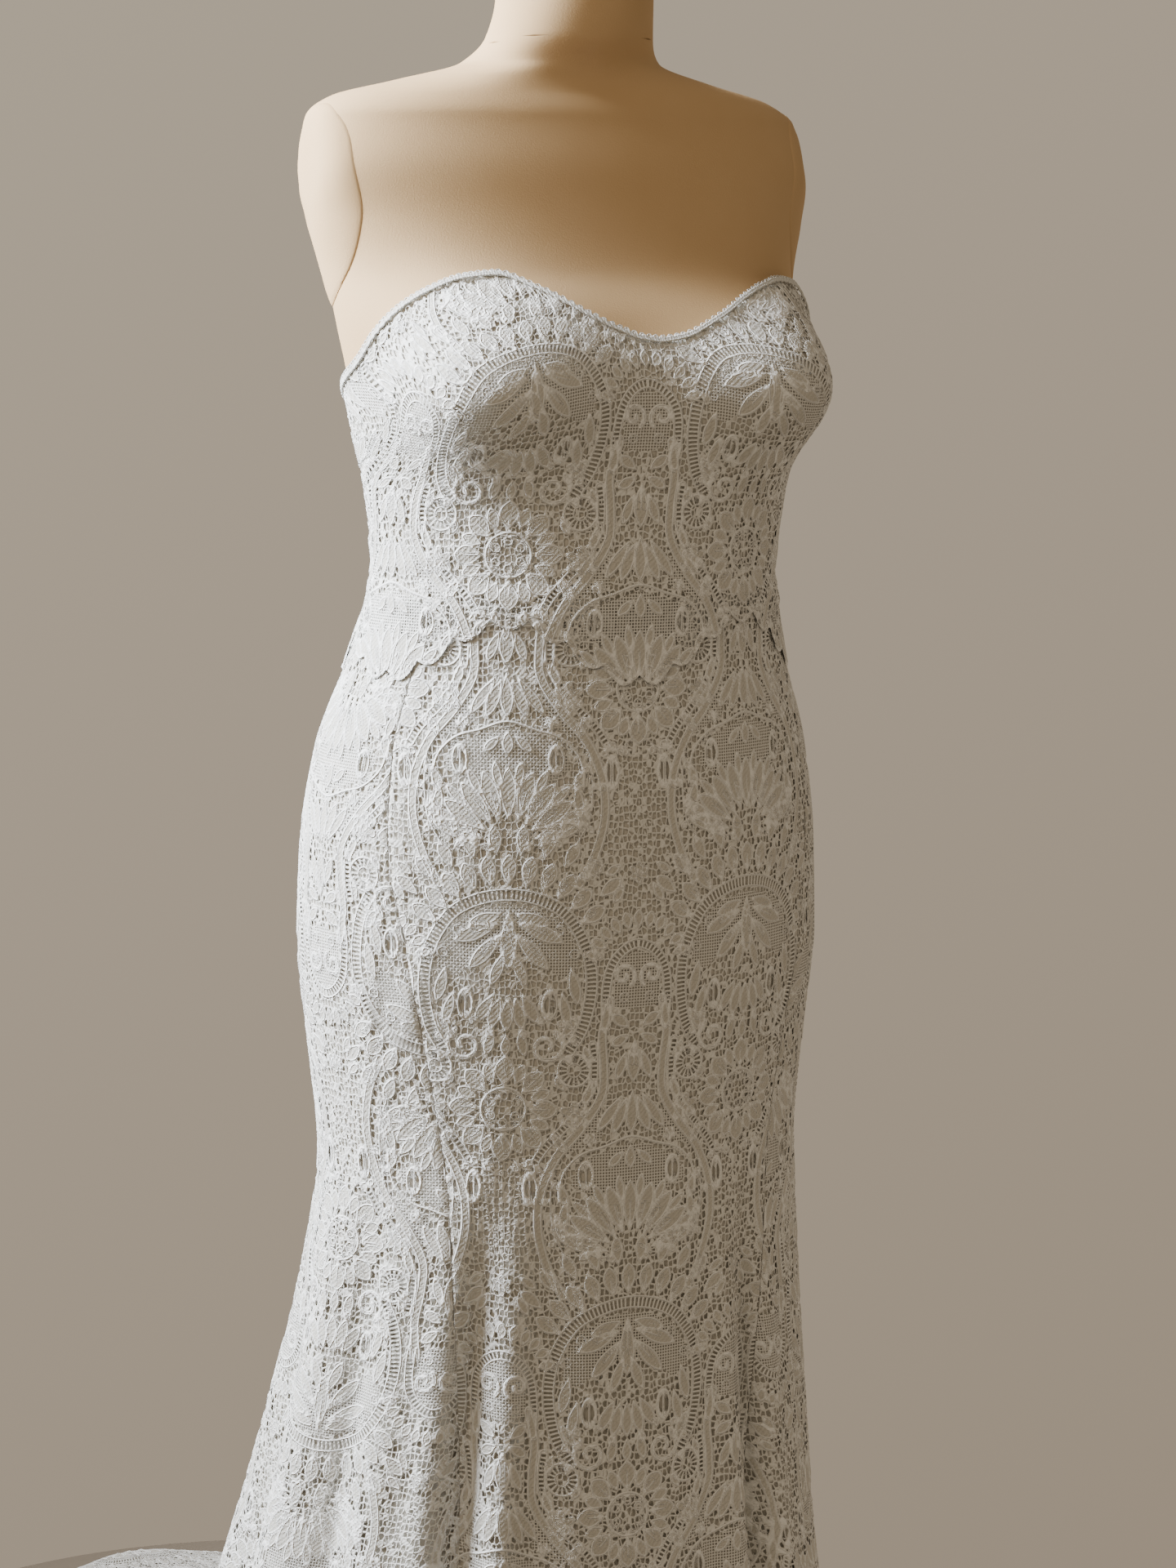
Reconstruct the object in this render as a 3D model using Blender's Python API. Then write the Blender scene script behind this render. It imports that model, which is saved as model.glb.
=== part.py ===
"""A strapless trumpet wedding dress of corded lace over a plain lining, standing on a limbless dress form.

Metres, +Z up. The origin is the centre of the base plate's underside, on the floor. The front faces -Y.
An angle round the body is 0 at the centre front, positive towards +X, and 180 at the centre back.
"""

import math

import bpy
import numpy as np
from mathutils.geometry import delaunay_2d_cdt

for old in list(bpy.data.objects):
    bpy.data.objects.remove(old)

MM = 0.001

# Cloth
LINING_THICK = 1.0 * MM
LACE_THICK = 1.5 * MM
LAYER_GAP = 0.45 * MM
SEAM_GAP = 0.3 * MM
LACE_HEM_SETBACK = 2.0 * MM

# Form and stand
FORM_CUP_RELIEF = 11.0 * MM
FORM_CLEAR_HEIGHTS = (0.70, 1.06, 1.13, 1.20, 1.27, 1.32, 1.50)
FORM_CLEAR_FRONT = (1.1 * MM, 1.1 * MM, 3.0 * MM, 3.5 * MM, 3.0 * MM, 1.0 * MM, 0.0)
FORM_CLEAR_BACK = (1.1 * MM, 1.1 * MM, 1.1 * MM, 1.1 * MM, 1.0 * MM, 0.8 * MM, 0.0)
TORSO_BOTTOM = 0.700
NECK_TOP = 1.500
TORSO_COLUMNS = 36
ARM_FACE = 0.187
POLE_RADIUS = 0.0175
BASE_RADIUS = 0.150
BASE_THICK = 0.012
HUB_RADIUS = 0.034
HUB_TOP = 0.055
TOUCH_GAP = 0.3 * MM

# Heights of the form's rows of points
TORSO_HEIGHTS = (
    TORSO_BOTTOM, 0.79, 0.86, 0.93, 1.0, 1.055, 1.12, 1.155, 1.19, 1.225, 1.26, 1.30, 1.345,
    1.378, 1.393, 1.403, 1.414, 1.425, 1.442, 1.471, NECK_TOP,
)

# Arm plates: flat ovals over the form's arm openings, with a rounded edge
ARM_PLATE_HALF_DEPTH = 0.039
ARM_PLATE_HALF_HEIGHT = 0.064
ARM_PLATE_CENTRE = (0.002, 1.322)
ARM_PLATE_SIDES = 24
ARM_PLATE_RIM = ((1.0, TOUCH_GAP), (1.0, 3.0 * MM), (0.93, 5.0 * MM), (0.55, 6.5 * MM))

# Sections of the inside of the cloth, and of the form where it stands free of the cloth.
# Each is two half ellipses on a centre that moves forwards and back with the posture.
SECTION_NAMES = ("height", "half_width", "front", "back", "centre")
SECTIONS = np.array(
    [
        (1.500, 0.0565, 0.057, 0.057, -0.031),
        (1.471, 0.0570, 0.057, 0.057, -0.030),
        (1.442, 0.0610, 0.060, 0.062, -0.020),
        (1.425, 0.0740, 0.062, 0.070, -0.004),
        (1.412, 0.1220, 0.066, 0.078, 0.006),
        (1.400, 0.1700, 0.072, 0.086, 0.010),
        (1.385, 0.1920, 0.078, 0.093, 0.010),
        (1.350, 0.2020, 0.083, 0.098, 0.004),
        (1.310, 0.1900, 0.088, 0.100, -0.001),
        (1.275, 0.1820, 0.094, 0.104, -0.008),
        (1.240, 0.1800, 0.100, 0.108, -0.024),
        (1.205, 0.1750, 0.105, 0.110, -0.032),
        (1.160, 0.1670, 0.106, 0.110, -0.034),
        (1.120, 0.1575, 0.108, 0.112, -0.034),
        (1.055, 0.1505, 0.112, 0.115, -0.030),
        (1.000, 0.1625, 0.122, 0.122, -0.017),
        (0.930, 0.1850, 0.134, 0.136, -0.006),
        (0.860, 0.1950, 0.139, 0.147, -0.002),
        (0.790, 0.1970, 0.140, 0.149, 0.000),
        (0.710, 0.1890, 0.134, 0.141, 0.002),
        (0.635, 0.1825, 0.128, 0.132, 0.002),
        (0.540, 0.1880, 0.134, 0.138, 0.012),
        (0.420, 0.2020, 0.156, 0.160, 0.036),
        (0.300, 0.2200, 0.192, 0.190, 0.066),
        (0.180, 0.2460, 0.243, 0.232, 0.096),
        (0.080, 0.2750, 0.293, 0.280, 0.126),
        (0.000, 0.2950, 0.333, 0.320, 0.150),
    ]
)

# The cups: a soft swelling each side of the centre front
CUP_ANGLE = 37.0
CUP_HEIGHT = 1.190
CUP_OUT = 0.054
CUP_SPREAD_IN = 27.0
CUP_SPREAD_SIDE = 22.0
CUP_SPREAD_UP = 0.062
CUP_SPREAD_DOWN = 0.050

# Heights of the top edge from the centre front round to the centre back, on the figure's right and left.
# The dress sits turned a little to the figure's left.
TOP_NAMES = ("angle", "right", "left")
TOP_EDGE = np.array(
    [
        (0, 1.2285, 1.2285),
        (5, 1.2350, 1.2265),
        (10, 1.2430, 1.2285),
        (20, 1.2610, 1.2420),
        (29, 1.2720, 1.2555),
        (37, 1.2695, 1.2640),
        (46, 1.2610, 1.2690),
        (56, 1.2480, 1.2670),
        (66, 1.2320, 1.2550),
        (78, 1.2140, 1.2320),
        (94, 1.2000, 1.2060),
        (115, 1.1850, 1.1860),
        (145, 1.1720, 1.1720),
        (180, 1.1680, 1.1680),
    ]
)

# Seams, as angles at each height: the princess seam and the side-back seam
SEAM_NAMES = ("height", "princess", "side_back")
SEAMS = np.array(
    [
        (1.280, 64, 104),
        (1.055, 62, 105),
        (0.857, 57, 107),
        (0.800, 52, 108),
        (0.665, 45.5, 110),
        (0.550, 40.5, 111),
        (0.320, 34.5, 112),
        (0.000, 33, 114),
    ]
)

# Heights of the rows of points below the top edge, and shares of the way out over the floor
TOP_SHARES = (0.0, 0.2, 0.4, 0.6, 0.8)
EDGE_HEIGHT = 7 * MM
FITTED_HEIGHTS = (1.12, 1.055, 1.0, 0.93, 0.86, 0.79, 0.71, 0.635)
FLARE_HEIGHTS = (0.54, 0.42, 0.30, 0.18, 0.07, 0.0)
FLOOR_SHARES = (0.45, 1.0)
WAIST_ROW = 1 + len(TOP_SHARES) + FITTED_HEIGHTS.index(1.055)
KNEE_ROW = 1 + len(TOP_SHARES) + FITTED_HEIGHTS.index(0.635)
TOUCH_ROW = KNEE_ROW + len(FLARE_HEIGHTS)

# Columns of points in each panel, as shares of the panel from its front seam
FRONT_SHARES = (0, 0.13, 0.25, 0.37, 0.48, 0.59, 0.68, 0.76, 0.88, 1)
SIDE_SHARES = (0, 0.09, 0.18, 0.27, 0.40, 0.50, 0.60, 0.72, 0.86, 1)
BACK_SHARES = (0, 0.12, 0.24, 0.36, 0.50, 0.62, 0.76, 0.88, 1)

# Folds of the flare: ridges stand out and valleys run in, as deep as given at FOLD_HEIGHT
FOLD_NAMES = ("angle", "depth", "width")
FOLDS = (
    (20, -0.003, 4.0),
    (26, 0.008, 4.5),
    (34, -0.015, 4.0),
    (42, 0.008, 4.5),
    (53, 0.004, 6.0),
    (65, -0.009, 5.0),
    (81, 0.010, 8.0),
    (98, -0.010, 6.0),
    (113, 0.013, 7.0),
    (129, -0.012, 6.0),
    (146, 0.014, 7.0),
    (162, -0.012, 6.0),
    (180, 0.010, 7.0),
)
FOLD_HEIGHT = 0.32
FOLD_START = 0.620
FOLD_MOST = 1.5

# The lace hangs free of the lining in the flare, by this much at most
FREE_HEIGHTS = (0.0, 0.06, 0.20, 0.36, 0.50, 0.63)
FREE_LACE = (0.0, 1.5 * MM, 6 * MM, 8 * MM, 5 * MM, 0.0)

# The train: what lies on the floor beyond the line where the skirt touches down
HEM_REST = 0.020
TRAIN_CENTRE = 0.150
TRAIN_BACK = 0.950
TRAIN_SIDE = 0.460
TRAIN_START = 62.0
TRAIN_LIFT = 0.55

# Waist join: the bodice lace is cut round its motifs, so its edge steps up and down
JOIN_SHARES = (0.28, 0.72)

# Lace repeat: columns of motifs, each set half a repeat below the one beside it
COLUMN_WIDTH = 0.095
REPEAT = 0.606
FRONT_CROWN = 0.170
SIDE_CROWN = 0.280
BODICE_CROWN = -0.175
GAP_NAMES = ("across", "down", "width", "height")
LACE_GAPS = np.array(
    [
        (0.030, 0.075, 0.009, 0.017),
        (0.020, 0.212, 0.008, 0.018),
        (0.034, 0.505, 0.009, 0.016),
    ]
)
GAP_BORDER = 1.6 * MM
GAP_APART = 3.0 * MM
GAP_SHIFTS = ((0, 0), (4, 0), (-4, 0), (0, 6), (0, -6), (4, 6), (-4, 6), (4, -6), (-4, -6), (8, 0), (-8, 0))

# Neck edging
EDGE_THICK = 2.0 * MM


def along(x, xs, ys):
    """Value at x on a monotone cubic curve through the points xs, ys."""
    xs = np.asarray(xs, float)
    ys = np.asarray(ys, float)
    if xs[0] > xs[-1]:
        xs, ys = xs[::-1], ys[::-1]
    step = np.diff(xs)
    slope = np.diff(ys) / step
    tangent = np.concatenate([slope[:1], np.zeros(len(xs) - 2), slope[-1:]])
    for i in range(1, len(xs) - 1):
        if slope[i - 1] * slope[i] > 0:
            before = 2 * step[i] + step[i - 1]
            after = step[i] + 2 * step[i - 1]
            tangent[i] = (before + after) / (before / slope[i - 1] + after / slope[i])
    x = np.clip(x, xs[0], xs[-1])
    k = np.clip(np.searchsorted(xs, x) - 1, 0, len(step) - 1)
    t = (x - xs[k]) / step[k]
    return (
        (1 + 2 * t) * (1 - t) ** 2 * ys[k]
        + t * (1 - t) ** 2 * step[k] * tangent[k]
        + t * t * (3 - 2 * t) * ys[k + 1]
        + t * t * (t - 1) * step[k] * tangent[k + 1]
    )


def column(table, names, name):
    """One named column of a table."""
    return table[:, names.index(name)]


def section_value(height, name):
    return along(height, column(SECTIONS, SECTION_NAMES, "height"), column(SECTIONS, SECTION_NAMES, name))


def folds(angle, height):
    """How far the cloth stands out in the flare at an angle and height."""
    total = np.zeros(np.broadcast(angle, height).shape)
    for at, depth, width in FOLDS:
        for side in (-1, 1):
            if at == 180 and side == -1:
                continue
            away = np.abs((angle - side * at + 180) % 360 - 180)
            total = total + depth * np.exp(-((away / width) ** 2))
    fall = np.clip((FOLD_START - height) / (FOLD_START - FOLD_HEIGHT), 0, None)
    rate = math.log(FOLD_MOST / (FOLD_MOST - 1))
    return total * FOLD_MOST * (1 - np.exp(-rate * fall))


def outward(angle, height):
    """Level direction straight out of a section."""
    turn = np.radians(angle)
    depth = np.where(np.cos(turn) > 0, section_value(height, "front"), section_value(height, "back"))
    across = np.sin(turn) / section_value(height, "half_width")
    back = -np.cos(turn) / depth
    length = np.hypot(across, back)
    return across / length, back / length


def surface(angle, height, cups=CUP_OUT):
    """Point of the inside of the cloth at an angle and height, above the floor."""
    turn = np.radians(angle)
    depth = np.where(np.cos(turn) > 0, section_value(height, "front"), section_value(height, "back"))
    x = section_value(height, "half_width") * np.sin(turn)
    y = section_value(height, "centre") - depth * np.cos(turn)
    spread = np.where(height > CUP_HEIGHT, CUP_SPREAD_UP, CUP_SPREAD_DOWN)
    cup = cups * np.exp(-(((height - CUP_HEIGHT) / spread) ** 2))
    beyond = np.abs(angle) - CUP_ANGLE
    reach = np.where(beyond > 0, CUP_SPREAD_SIDE, CUP_SPREAD_IN)
    across = np.exp(-((beyond / reach) ** 2)) + np.exp(-(((beyond + 2 * CUP_ANGLE) / CUP_SPREAD_IN) ** 2))
    cup = cup * across
    nx, ny = outward(angle, height)
    push = cup + folds(angle, height)
    return np.stack([x + push * nx, y + push * ny, height + 0 * x], -1)


def train_share(angle):
    """0 in front, rising to 1 at the centre back."""
    share = np.clip((np.abs(angle) - TRAIN_START) / (180 - TRAIN_START), 0, 1)
    return share * share * (3 - 2 * share)


def hem(angle):
    """Plan of the hem on the floor: it rests on the floor in front and runs out in a rounded train."""
    touch = surface(angle, np.zeros_like(angle))
    nx, ny = outward(angle, np.zeros_like(angle))
    near = touch[..., :2] + HEM_REST * np.stack([nx, ny], -1)
    turn = np.radians(angle)
    bulge = np.sin(2 * (np.abs(turn) - math.pi / 2)) ** 2
    far_x = np.sin(turn) * (column(SECTIONS, SECTION_NAMES, "half_width")[-1] + TRAIN_SIDE * bulge)
    far_y = TRAIN_CENTRE - TRAIN_BACK * np.cos(turn)
    share = train_share(angle)[..., None]
    plan = near * (1 - share) + np.stack([far_x, far_y], -1) * share
    return np.concatenate([plan, np.zeros(plan.shape[:-1] + (1,))], -1)


def seam(height, name):
    return along(height, column(SEAMS, SEAM_NAMES, "height"), column(SEAMS, SEAM_NAMES, name))


def ring_angles(height):
    """Angles of all columns at one height, right back round the front to left back, and where each panel ends."""
    princess = seam(height, "princess")
    side_back = seam(height, "side_back")
    front = [princess * s for s in FRONT_SHARES]
    side = [princess + (side_back - princess) * s for s in SIDE_SHARES]
    back = [side_back + (180 - side_back) * s for s in BACK_SHARES]
    half = front + side[1:] + back[1:]
    return np.array([-a for a in half[:0:-1]] + half)


def ring_grid():
    """Inside of the cloth all round, as rows of points from the top edge to the hem."""
    rows = []
    knee_down = FITTED_HEIGHTS + FLARE_HEIGHTS
    top_angles = ring_angles(CUP_HEIGHT)
    right = along(-top_angles, column(TOP_EDGE, TOP_NAMES, "angle"), column(TOP_EDGE, TOP_NAMES, "right"))
    left = along(top_angles, column(TOP_EDGE, TOP_NAMES, "angle"), column(TOP_EDGE, TOP_NAMES, "left"))
    top = np.where(top_angles < 0, right, left)
    rows.append(surface(top_angles, top))
    below_edge = top - EDGE_HEIGHT
    for share in TOP_SHARES:
        rows.append(surface(top_angles, below_edge + (FITTED_HEIGHTS[0] - below_edge) * share))
    for height in knee_down:
        angles = ring_angles(height)
        rows.append(surface(angles, np.full_like(angles, height)))
    floor_angles = ring_angles(0.0)
    touch = rows[-1]
    lift = np.clip(folds(floor_angles, np.zeros_like(floor_angles)), 0, None)
    lift = lift * TRAIN_LIFT * train_share(floor_angles)
    touch[:, 2] += lift
    end = hem(floor_angles)
    for share in FLOOR_SHARES:
        row = touch * (1 - share) + end * share
        row[:, 2] = lift * (1 - share) * (1 + 1.2 * share)
        rows.append(row)
    return np.array(rows)


def normals_of(grid):
    """Unit normals of a ring grid whose first and last columns meet."""
    wrapped = np.concatenate([grid[:, -2:-1], grid, grid[:, 1:2]], 1)
    across = wrapped[:, 2:] - wrapped[:, :-2]
    down = np.gradient(grid, axis=0)
    normal = np.cross(down, across)
    normal[TOUCH_ROW + 1 :] = (0, 0, 1)
    return normal / np.linalg.norm(normal, axis=-1, keepdims=True)


def free_lace(grid):
    """How far the lace stands off the lining, from the height of the cloth."""
    off = along(grid[..., 2], FREE_HEIGHTS, FREE_LACE)
    off[TOUCH_ROW:] = 0
    return off[..., None]


def ring_tangents(grid, normal):
    """Unit vectors in the cloth, square to each column of a ring grid."""
    way = np.cross(normal, np.gradient(grid, axis=0))
    return way / np.linalg.norm(way, axis=-1, keepdims=True)


def trim_seams(points, tangents):
    """Moves a panel's edge columns in by half the seam gap."""
    points = points.copy()
    points[:, 0] += SEAM_GAP / 2 * tangents[:, 0]
    points[:, -1] -= SEAM_GAP / 2 * tangents[:, -1]
    return points


def cloth_coordinates(points, middle, top_row):
    """Distance across from the middle column, and down from the top row, for each point of a panel."""
    step = np.linalg.norm(np.diff(points, axis=1), axis=-1)
    across = np.concatenate([np.zeros((len(points), 1)), np.cumsum(step, 1)], 1)
    across -= across[:, middle : middle + 1]
    step = np.linalg.norm(np.diff(points, axis=0), axis=-1)
    down = np.concatenate([np.zeros((1, points.shape[1])), np.cumsum(step, 0)], 0)
    return across, down - down[top_row]


def facet_corners(grid):
    """Corners of each facet of a grid, two to a cell, in the order that faces out: (row, column, half, corner)."""
    top_left, top_right = grid[:-1, :-1], grid[:-1, 1:]
    low_left, low_right = grid[1:, :-1], grid[1:, 1:]
    upper = np.stack([top_left, low_right, top_right], 2)
    lower = np.stack([top_left, low_left, low_right], 2)
    return np.stack([upper, lower], 2)


def barycentric(corners, point):
    """Shares of a flat facet's three corners that make a point, for each facet."""
    first = corners[..., 1, :] - corners[..., 0, :]
    second = corners[..., 2, :] - corners[..., 0, :]
    to_point = point - corners[..., 0, :]
    whole = first[..., 0] * second[..., 1] - first[..., 1] * second[..., 0]
    b = (to_point[..., 0] * second[..., 1] - to_point[..., 1] * second[..., 0]) / whole
    c = (first[..., 0] * to_point[..., 1] - first[..., 1] * to_point[..., 0]) / whole
    return np.stack([1 - b - c, b, c], -1)


def corner_heights(corners):
    """Distance from each corner of a flat facet to the side facing it."""
    first = corners[..., 1, :] - corners[..., 0, :]
    second = corners[..., 2, :] - corners[..., 0, :]
    twice_area = np.abs(first[..., 0] * second[..., 1] - first[..., 1] * second[..., 0])
    facing = corners[..., (2, 0, 1), :] - corners[..., (1, 2, 0), :]
    return twice_area[..., None] / np.linalg.norm(facing, axis=-1)


def lace_gaps(points, middle, level_row, crown, turned=False):
    """The lace's largest gaps on a panel: {(row, column, half): [shares of the facet's corners at four tips]}.

    A column of motifs is COLUMN_WIDTH from the next, and its arch crowns lie REPEAT apart.
    Each gap lies within one facet, moved a little where a fold line would cross it.
    turned is for a panel cut with the lace upside down."""
    across, down = cloth_coordinates(points, middle, level_row)
    corners = facet_corners(np.stack([across, down], -1))
    heights = corner_heights(corners)
    lowest, highest = corners.min((0, 1, 2, 3)), corners.max((0, 1, 2, 3))
    sign = -1 if turned else 1
    placed = []
    facets = {}
    for k in range(-9, 10):
        for m in range(-4, 5):
            for gap_across, gap_down, width, height in LACE_GAPS:
                for side in (-1, 1):
                    drop = gap_down + (REPEAT / 2 if k % 2 == 0 else 0) + m * REPEAT
                    spot = np.array([k * COLUMN_WIDTH + side * gap_across, crown + sign * drop])
                    if (spot < lowest).any() or (spot > highest).any():
                        continue
                    found = fit_gap(corners, heights, placed, spot, width, height)
                    if found:
                        facet, tips = found
                        facets.setdefault(facet, []).append(tips)
    return facets


def fit_gap(corners, heights, placed, spot, width, height):
    """The facet that holds a gap at or near a spot, and the gap's tips in it: top, right, low, left."""
    for shift in GAP_SHIFTS:
        centre = spot + np.array(shift) * MM
        if any(abs(centre[0] - x) < GAP_APART + width and abs(centre[1] - y) < GAP_APART + height for x, y in placed):
            continue
        tips = [centre + way for way in ((0, -height / 2), (width / 2, 0), (0, height / 2), (-width / 2, 0))]
        shares = np.stack([barycentric(corners, tip) for tip in tips], -2)
        inside = np.argwhere((shares * heights[..., None, :] > GAP_BORDER).all((-1, -2)))
        if len(inside):
            facet = tuple(int(n) for n in inside[0])
            placed.append(centre)
            return facet, shares[facet]
    return None


def make_object(name, points, faces, material):
    """A named object from points and faces, in place, with its material."""
    mesh = bpy.data.meshes.new(name)
    mesh.from_pydata([tuple(p) for p in points], [], faces)
    mesh.materials.append(material)
    mesh.update()
    made = bpy.data.objects.new(name, mesh)
    bpy.context.scene.collection.objects.link(made)
    return made


def cut_facet(corners, holes):
    """Faces of one facet round its holes, as indices of its corners and then of the holes' tips, facing out."""
    along_side = corners[1] - corners[0]
    along_side = along_side / np.linalg.norm(along_side)
    facing = np.cross(corners[1] - corners[0], corners[2] - corners[0])
    up = np.cross(facing / np.linalg.norm(facing), along_side)
    shares = np.concatenate([np.eye(3)] + holes)
    spots = shares @ corners - corners[0]
    flat = np.stack([spots @ along_side, spots @ up], -1) / MM
    edges = [(0, 1), (1, 2), (2, 0)]
    for h in range(len(holes)):
        first = 3 + 4 * h
        edges += [(first + k, first + (k + 1) % 4) for k in range(4)]
    _, _, faces, origin, _, _ = delaunay_2d_cdt([tuple(p) for p in flat], edges, [], 0, 1e-6)
    kept = []
    for face in faces:
        face = tuple(origin[k][0] for k in face)
        in_a_hole = min(face) > 2 and len({(k - 3) // 4 for k in face}) == 1
        if not in_a_hole:
            kept.append(face)
    return kept


def make_wall(name, inner, outer, material, gaps=None):
    """A closed wall of cloth between two grids of points, cut through at its gaps."""
    gaps = gaps or {}
    rows, columns = inner.shape[:2]
    count = rows * columns
    points = [p for grid in (outer, inner) for p in grid.reshape(-1, 3)]
    faces = []

    def at(layer, i, j):
        return layer * count + i * columns + j

    def quad(a, b, c, d):
        faces.append((a, b, c))
        faces.append((a, c, d))

    for i in range(rows - 1):
        for j in range(columns - 1):
            for half in (0, 1):
                places = ((i, j), (i + 1, j + 1), (i, j + 1)) if half == 0 else ((i, j), (i + 1, j), (i + 1, j + 1))
                near = [at(0, *place) for place in places]
                far = [at(1, *place) for place in places]
                holes = gaps.get((i, j, half), [])
                local = [(0, 1, 2)]
                if holes:
                    local = cut_facet(np.array([points[k] for k in near]), holes)
                for side in (near, far):
                    corners = np.array([points[k] for k in side[:3]])
                    for tips in holes:
                        side.extend(range(len(points), len(points) + 4))
                        points.extend(tips @ corners)
                for a, b, c in local:
                    faces.append((near[a], near[b], near[c]))
                    faces.append((far[c], far[b], far[a]))
                for first in range(3, len(near), 4):
                    for k in range(4):
                        here, there = first + k, first + (k + 1) % 4
                        quad(near[here], far[here], far[there], near[there])
    border = [(0, j) for j in range(columns)] + [(i, columns - 1) for i in range(1, rows)]
    border += [(rows - 1, j) for j in range(columns - 2, -1, -1)] + [(i, 0) for i in range(rows - 2, 0, -1)]
    for here, there in zip(border, border[1:] + border[:1]):
        quad(at(0, *here), at(0, *there), at(1, *there), at(1, *here))
    return make_object(name, points, faces, material)


def make_material(name, colour, roughness, metallic=0.0):
    material = bpy.data.materials.new(name)
    material.use_nodes = True
    shader = material.node_tree.nodes["Principled BSDF"]
    shader.inputs["Base Color"].default_value = (*colour, 1)
    shader.inputs["Roughness"].default_value = roughness
    shader.inputs["Metallic"].default_value = metallic
    return material


def make_turned(name, profile, sides, material, centre=(0.0, 0.0)):
    """A solid of revolution about a vertical axis: profile is (radius, height) from the bottom up, closed at both ends."""
    points = [(centre[0], centre[1], profile[0][1])]
    for radius, height in profile:
        for k in range(sides):
            turn = 2 * math.pi * k / sides
            points.append((centre[0] + radius * math.cos(turn), centre[1] + radius * math.sin(turn), height))
    points.append((centre[0], centre[1], profile[-1][1]))
    faces = []
    for k in range(sides):
        after = (k + 1) % sides
        faces.append((0, 1 + after, 1 + k))
        for ring in range(len(profile) - 1):
            low = 1 + ring * sides
            high = low + sides
            faces.append((low + k, low + after, high + after, high + k))
        last = 1 + (len(profile) - 1) * sides
        faces.append((last + k, last + after, len(points) - 1))
    made = make_object(name, points, faces, material)
    made.data.shade_smooth()
    made.data.set_sharp_from_angle(angle=math.radians(35))
    return made


def make_torso(material):
    """The form: the same sections as the dress, a little smaller, on up over the shoulders to the neck."""
    angles = np.arange(TORSO_COLUMNS) * 360 / TORSO_COLUMNS - 180
    points = []
    for height in TORSO_HEIGHTS:
        level = np.full_like(angles, height, dtype=float)
        row = surface(angles, level, CUP_OUT - FORM_CUP_RELIEF)
        nx, ny = outward(angles, level)
        forward = 0.5 + 0.5 * np.cos(np.radians(angles))
        front_clear = along(height, FORM_CLEAR_HEIGHTS, FORM_CLEAR_FRONT)
        back_clear = along(height, FORM_CLEAR_HEIGHTS, FORM_CLEAR_BACK)
        clear = back_clear + (front_clear - back_clear) * forward
        row[:, 0] -= clear * nx
        row[:, 1] -= clear * ny
        row[:, 0] = np.clip(row[:, 0], -ARM_FACE, ARM_FACE)
        points.extend(row)
    faces = []
    for i in range(len(TORSO_HEIGHTS) - 1):
        for k in range(TORSO_COLUMNS):
            after = (k + 1) % TORSO_COLUMNS
            low, high = i * TORSO_COLUMNS, (i + 1) * TORSO_COLUMNS
            faces.append((low + k, low + after, high + after, high + k))
    top = (len(TORSO_HEIGHTS) - 1) * TORSO_COLUMNS
    faces.append(tuple(range(TORSO_COLUMNS))[::-1])
    faces.append(tuple(top + k for k in range(TORSO_COLUMNS)))
    made = make_object("form_torso", points, faces, material)
    made.data.shade_smooth()
    made.data.set_sharp_from_angle(angle=math.radians(50))
    return made


def make_arm_plate(name, side, material):
    """Rings of one oval plate, from the flat back to the low crown in the middle."""
    centre_y, centre_z = ARM_PLATE_CENTRE
    points = [(side * (ARM_FACE + TOUCH_GAP), centre_y, centre_z)]
    for share, out in ARM_PLATE_RIM:
        for k in range(ARM_PLATE_SIDES):
            turn = 2 * math.pi * k / ARM_PLATE_SIDES
            y = centre_y + share * ARM_PLATE_HALF_DEPTH * math.cos(turn)
            z = centre_z + share * ARM_PLATE_HALF_HEIGHT * math.sin(turn)
            points.append((side * (ARM_FACE + out), y, z))
    points.append((side * (ARM_FACE + ARM_PLATE_RIM[-1][1] + 0.4 * MM), centre_y, centre_z))
    faces = []
    last = 1 + (len(ARM_PLATE_RIM) - 1) * ARM_PLATE_SIDES
    for k in range(ARM_PLATE_SIDES):
        after = (k + 1) % ARM_PLATE_SIDES
        faces.append((0, 1 + after, 1 + k))
        for ring in range(len(ARM_PLATE_RIM) - 1):
            low = 1 + ring * ARM_PLATE_SIDES
            high = low + ARM_PLATE_SIDES
            faces.append((low + k, low + after, high + after, high + k))
        faces.append((last + k, last + after, len(points) - 1))
    if side < 0:
        faces = [f[::-1] for f in faces]
    made = make_object(name, points, faces, material)
    made.data.shade_smooth()
    made.data.set_sharp_from_angle(angle=math.radians(50))
    return made


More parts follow.
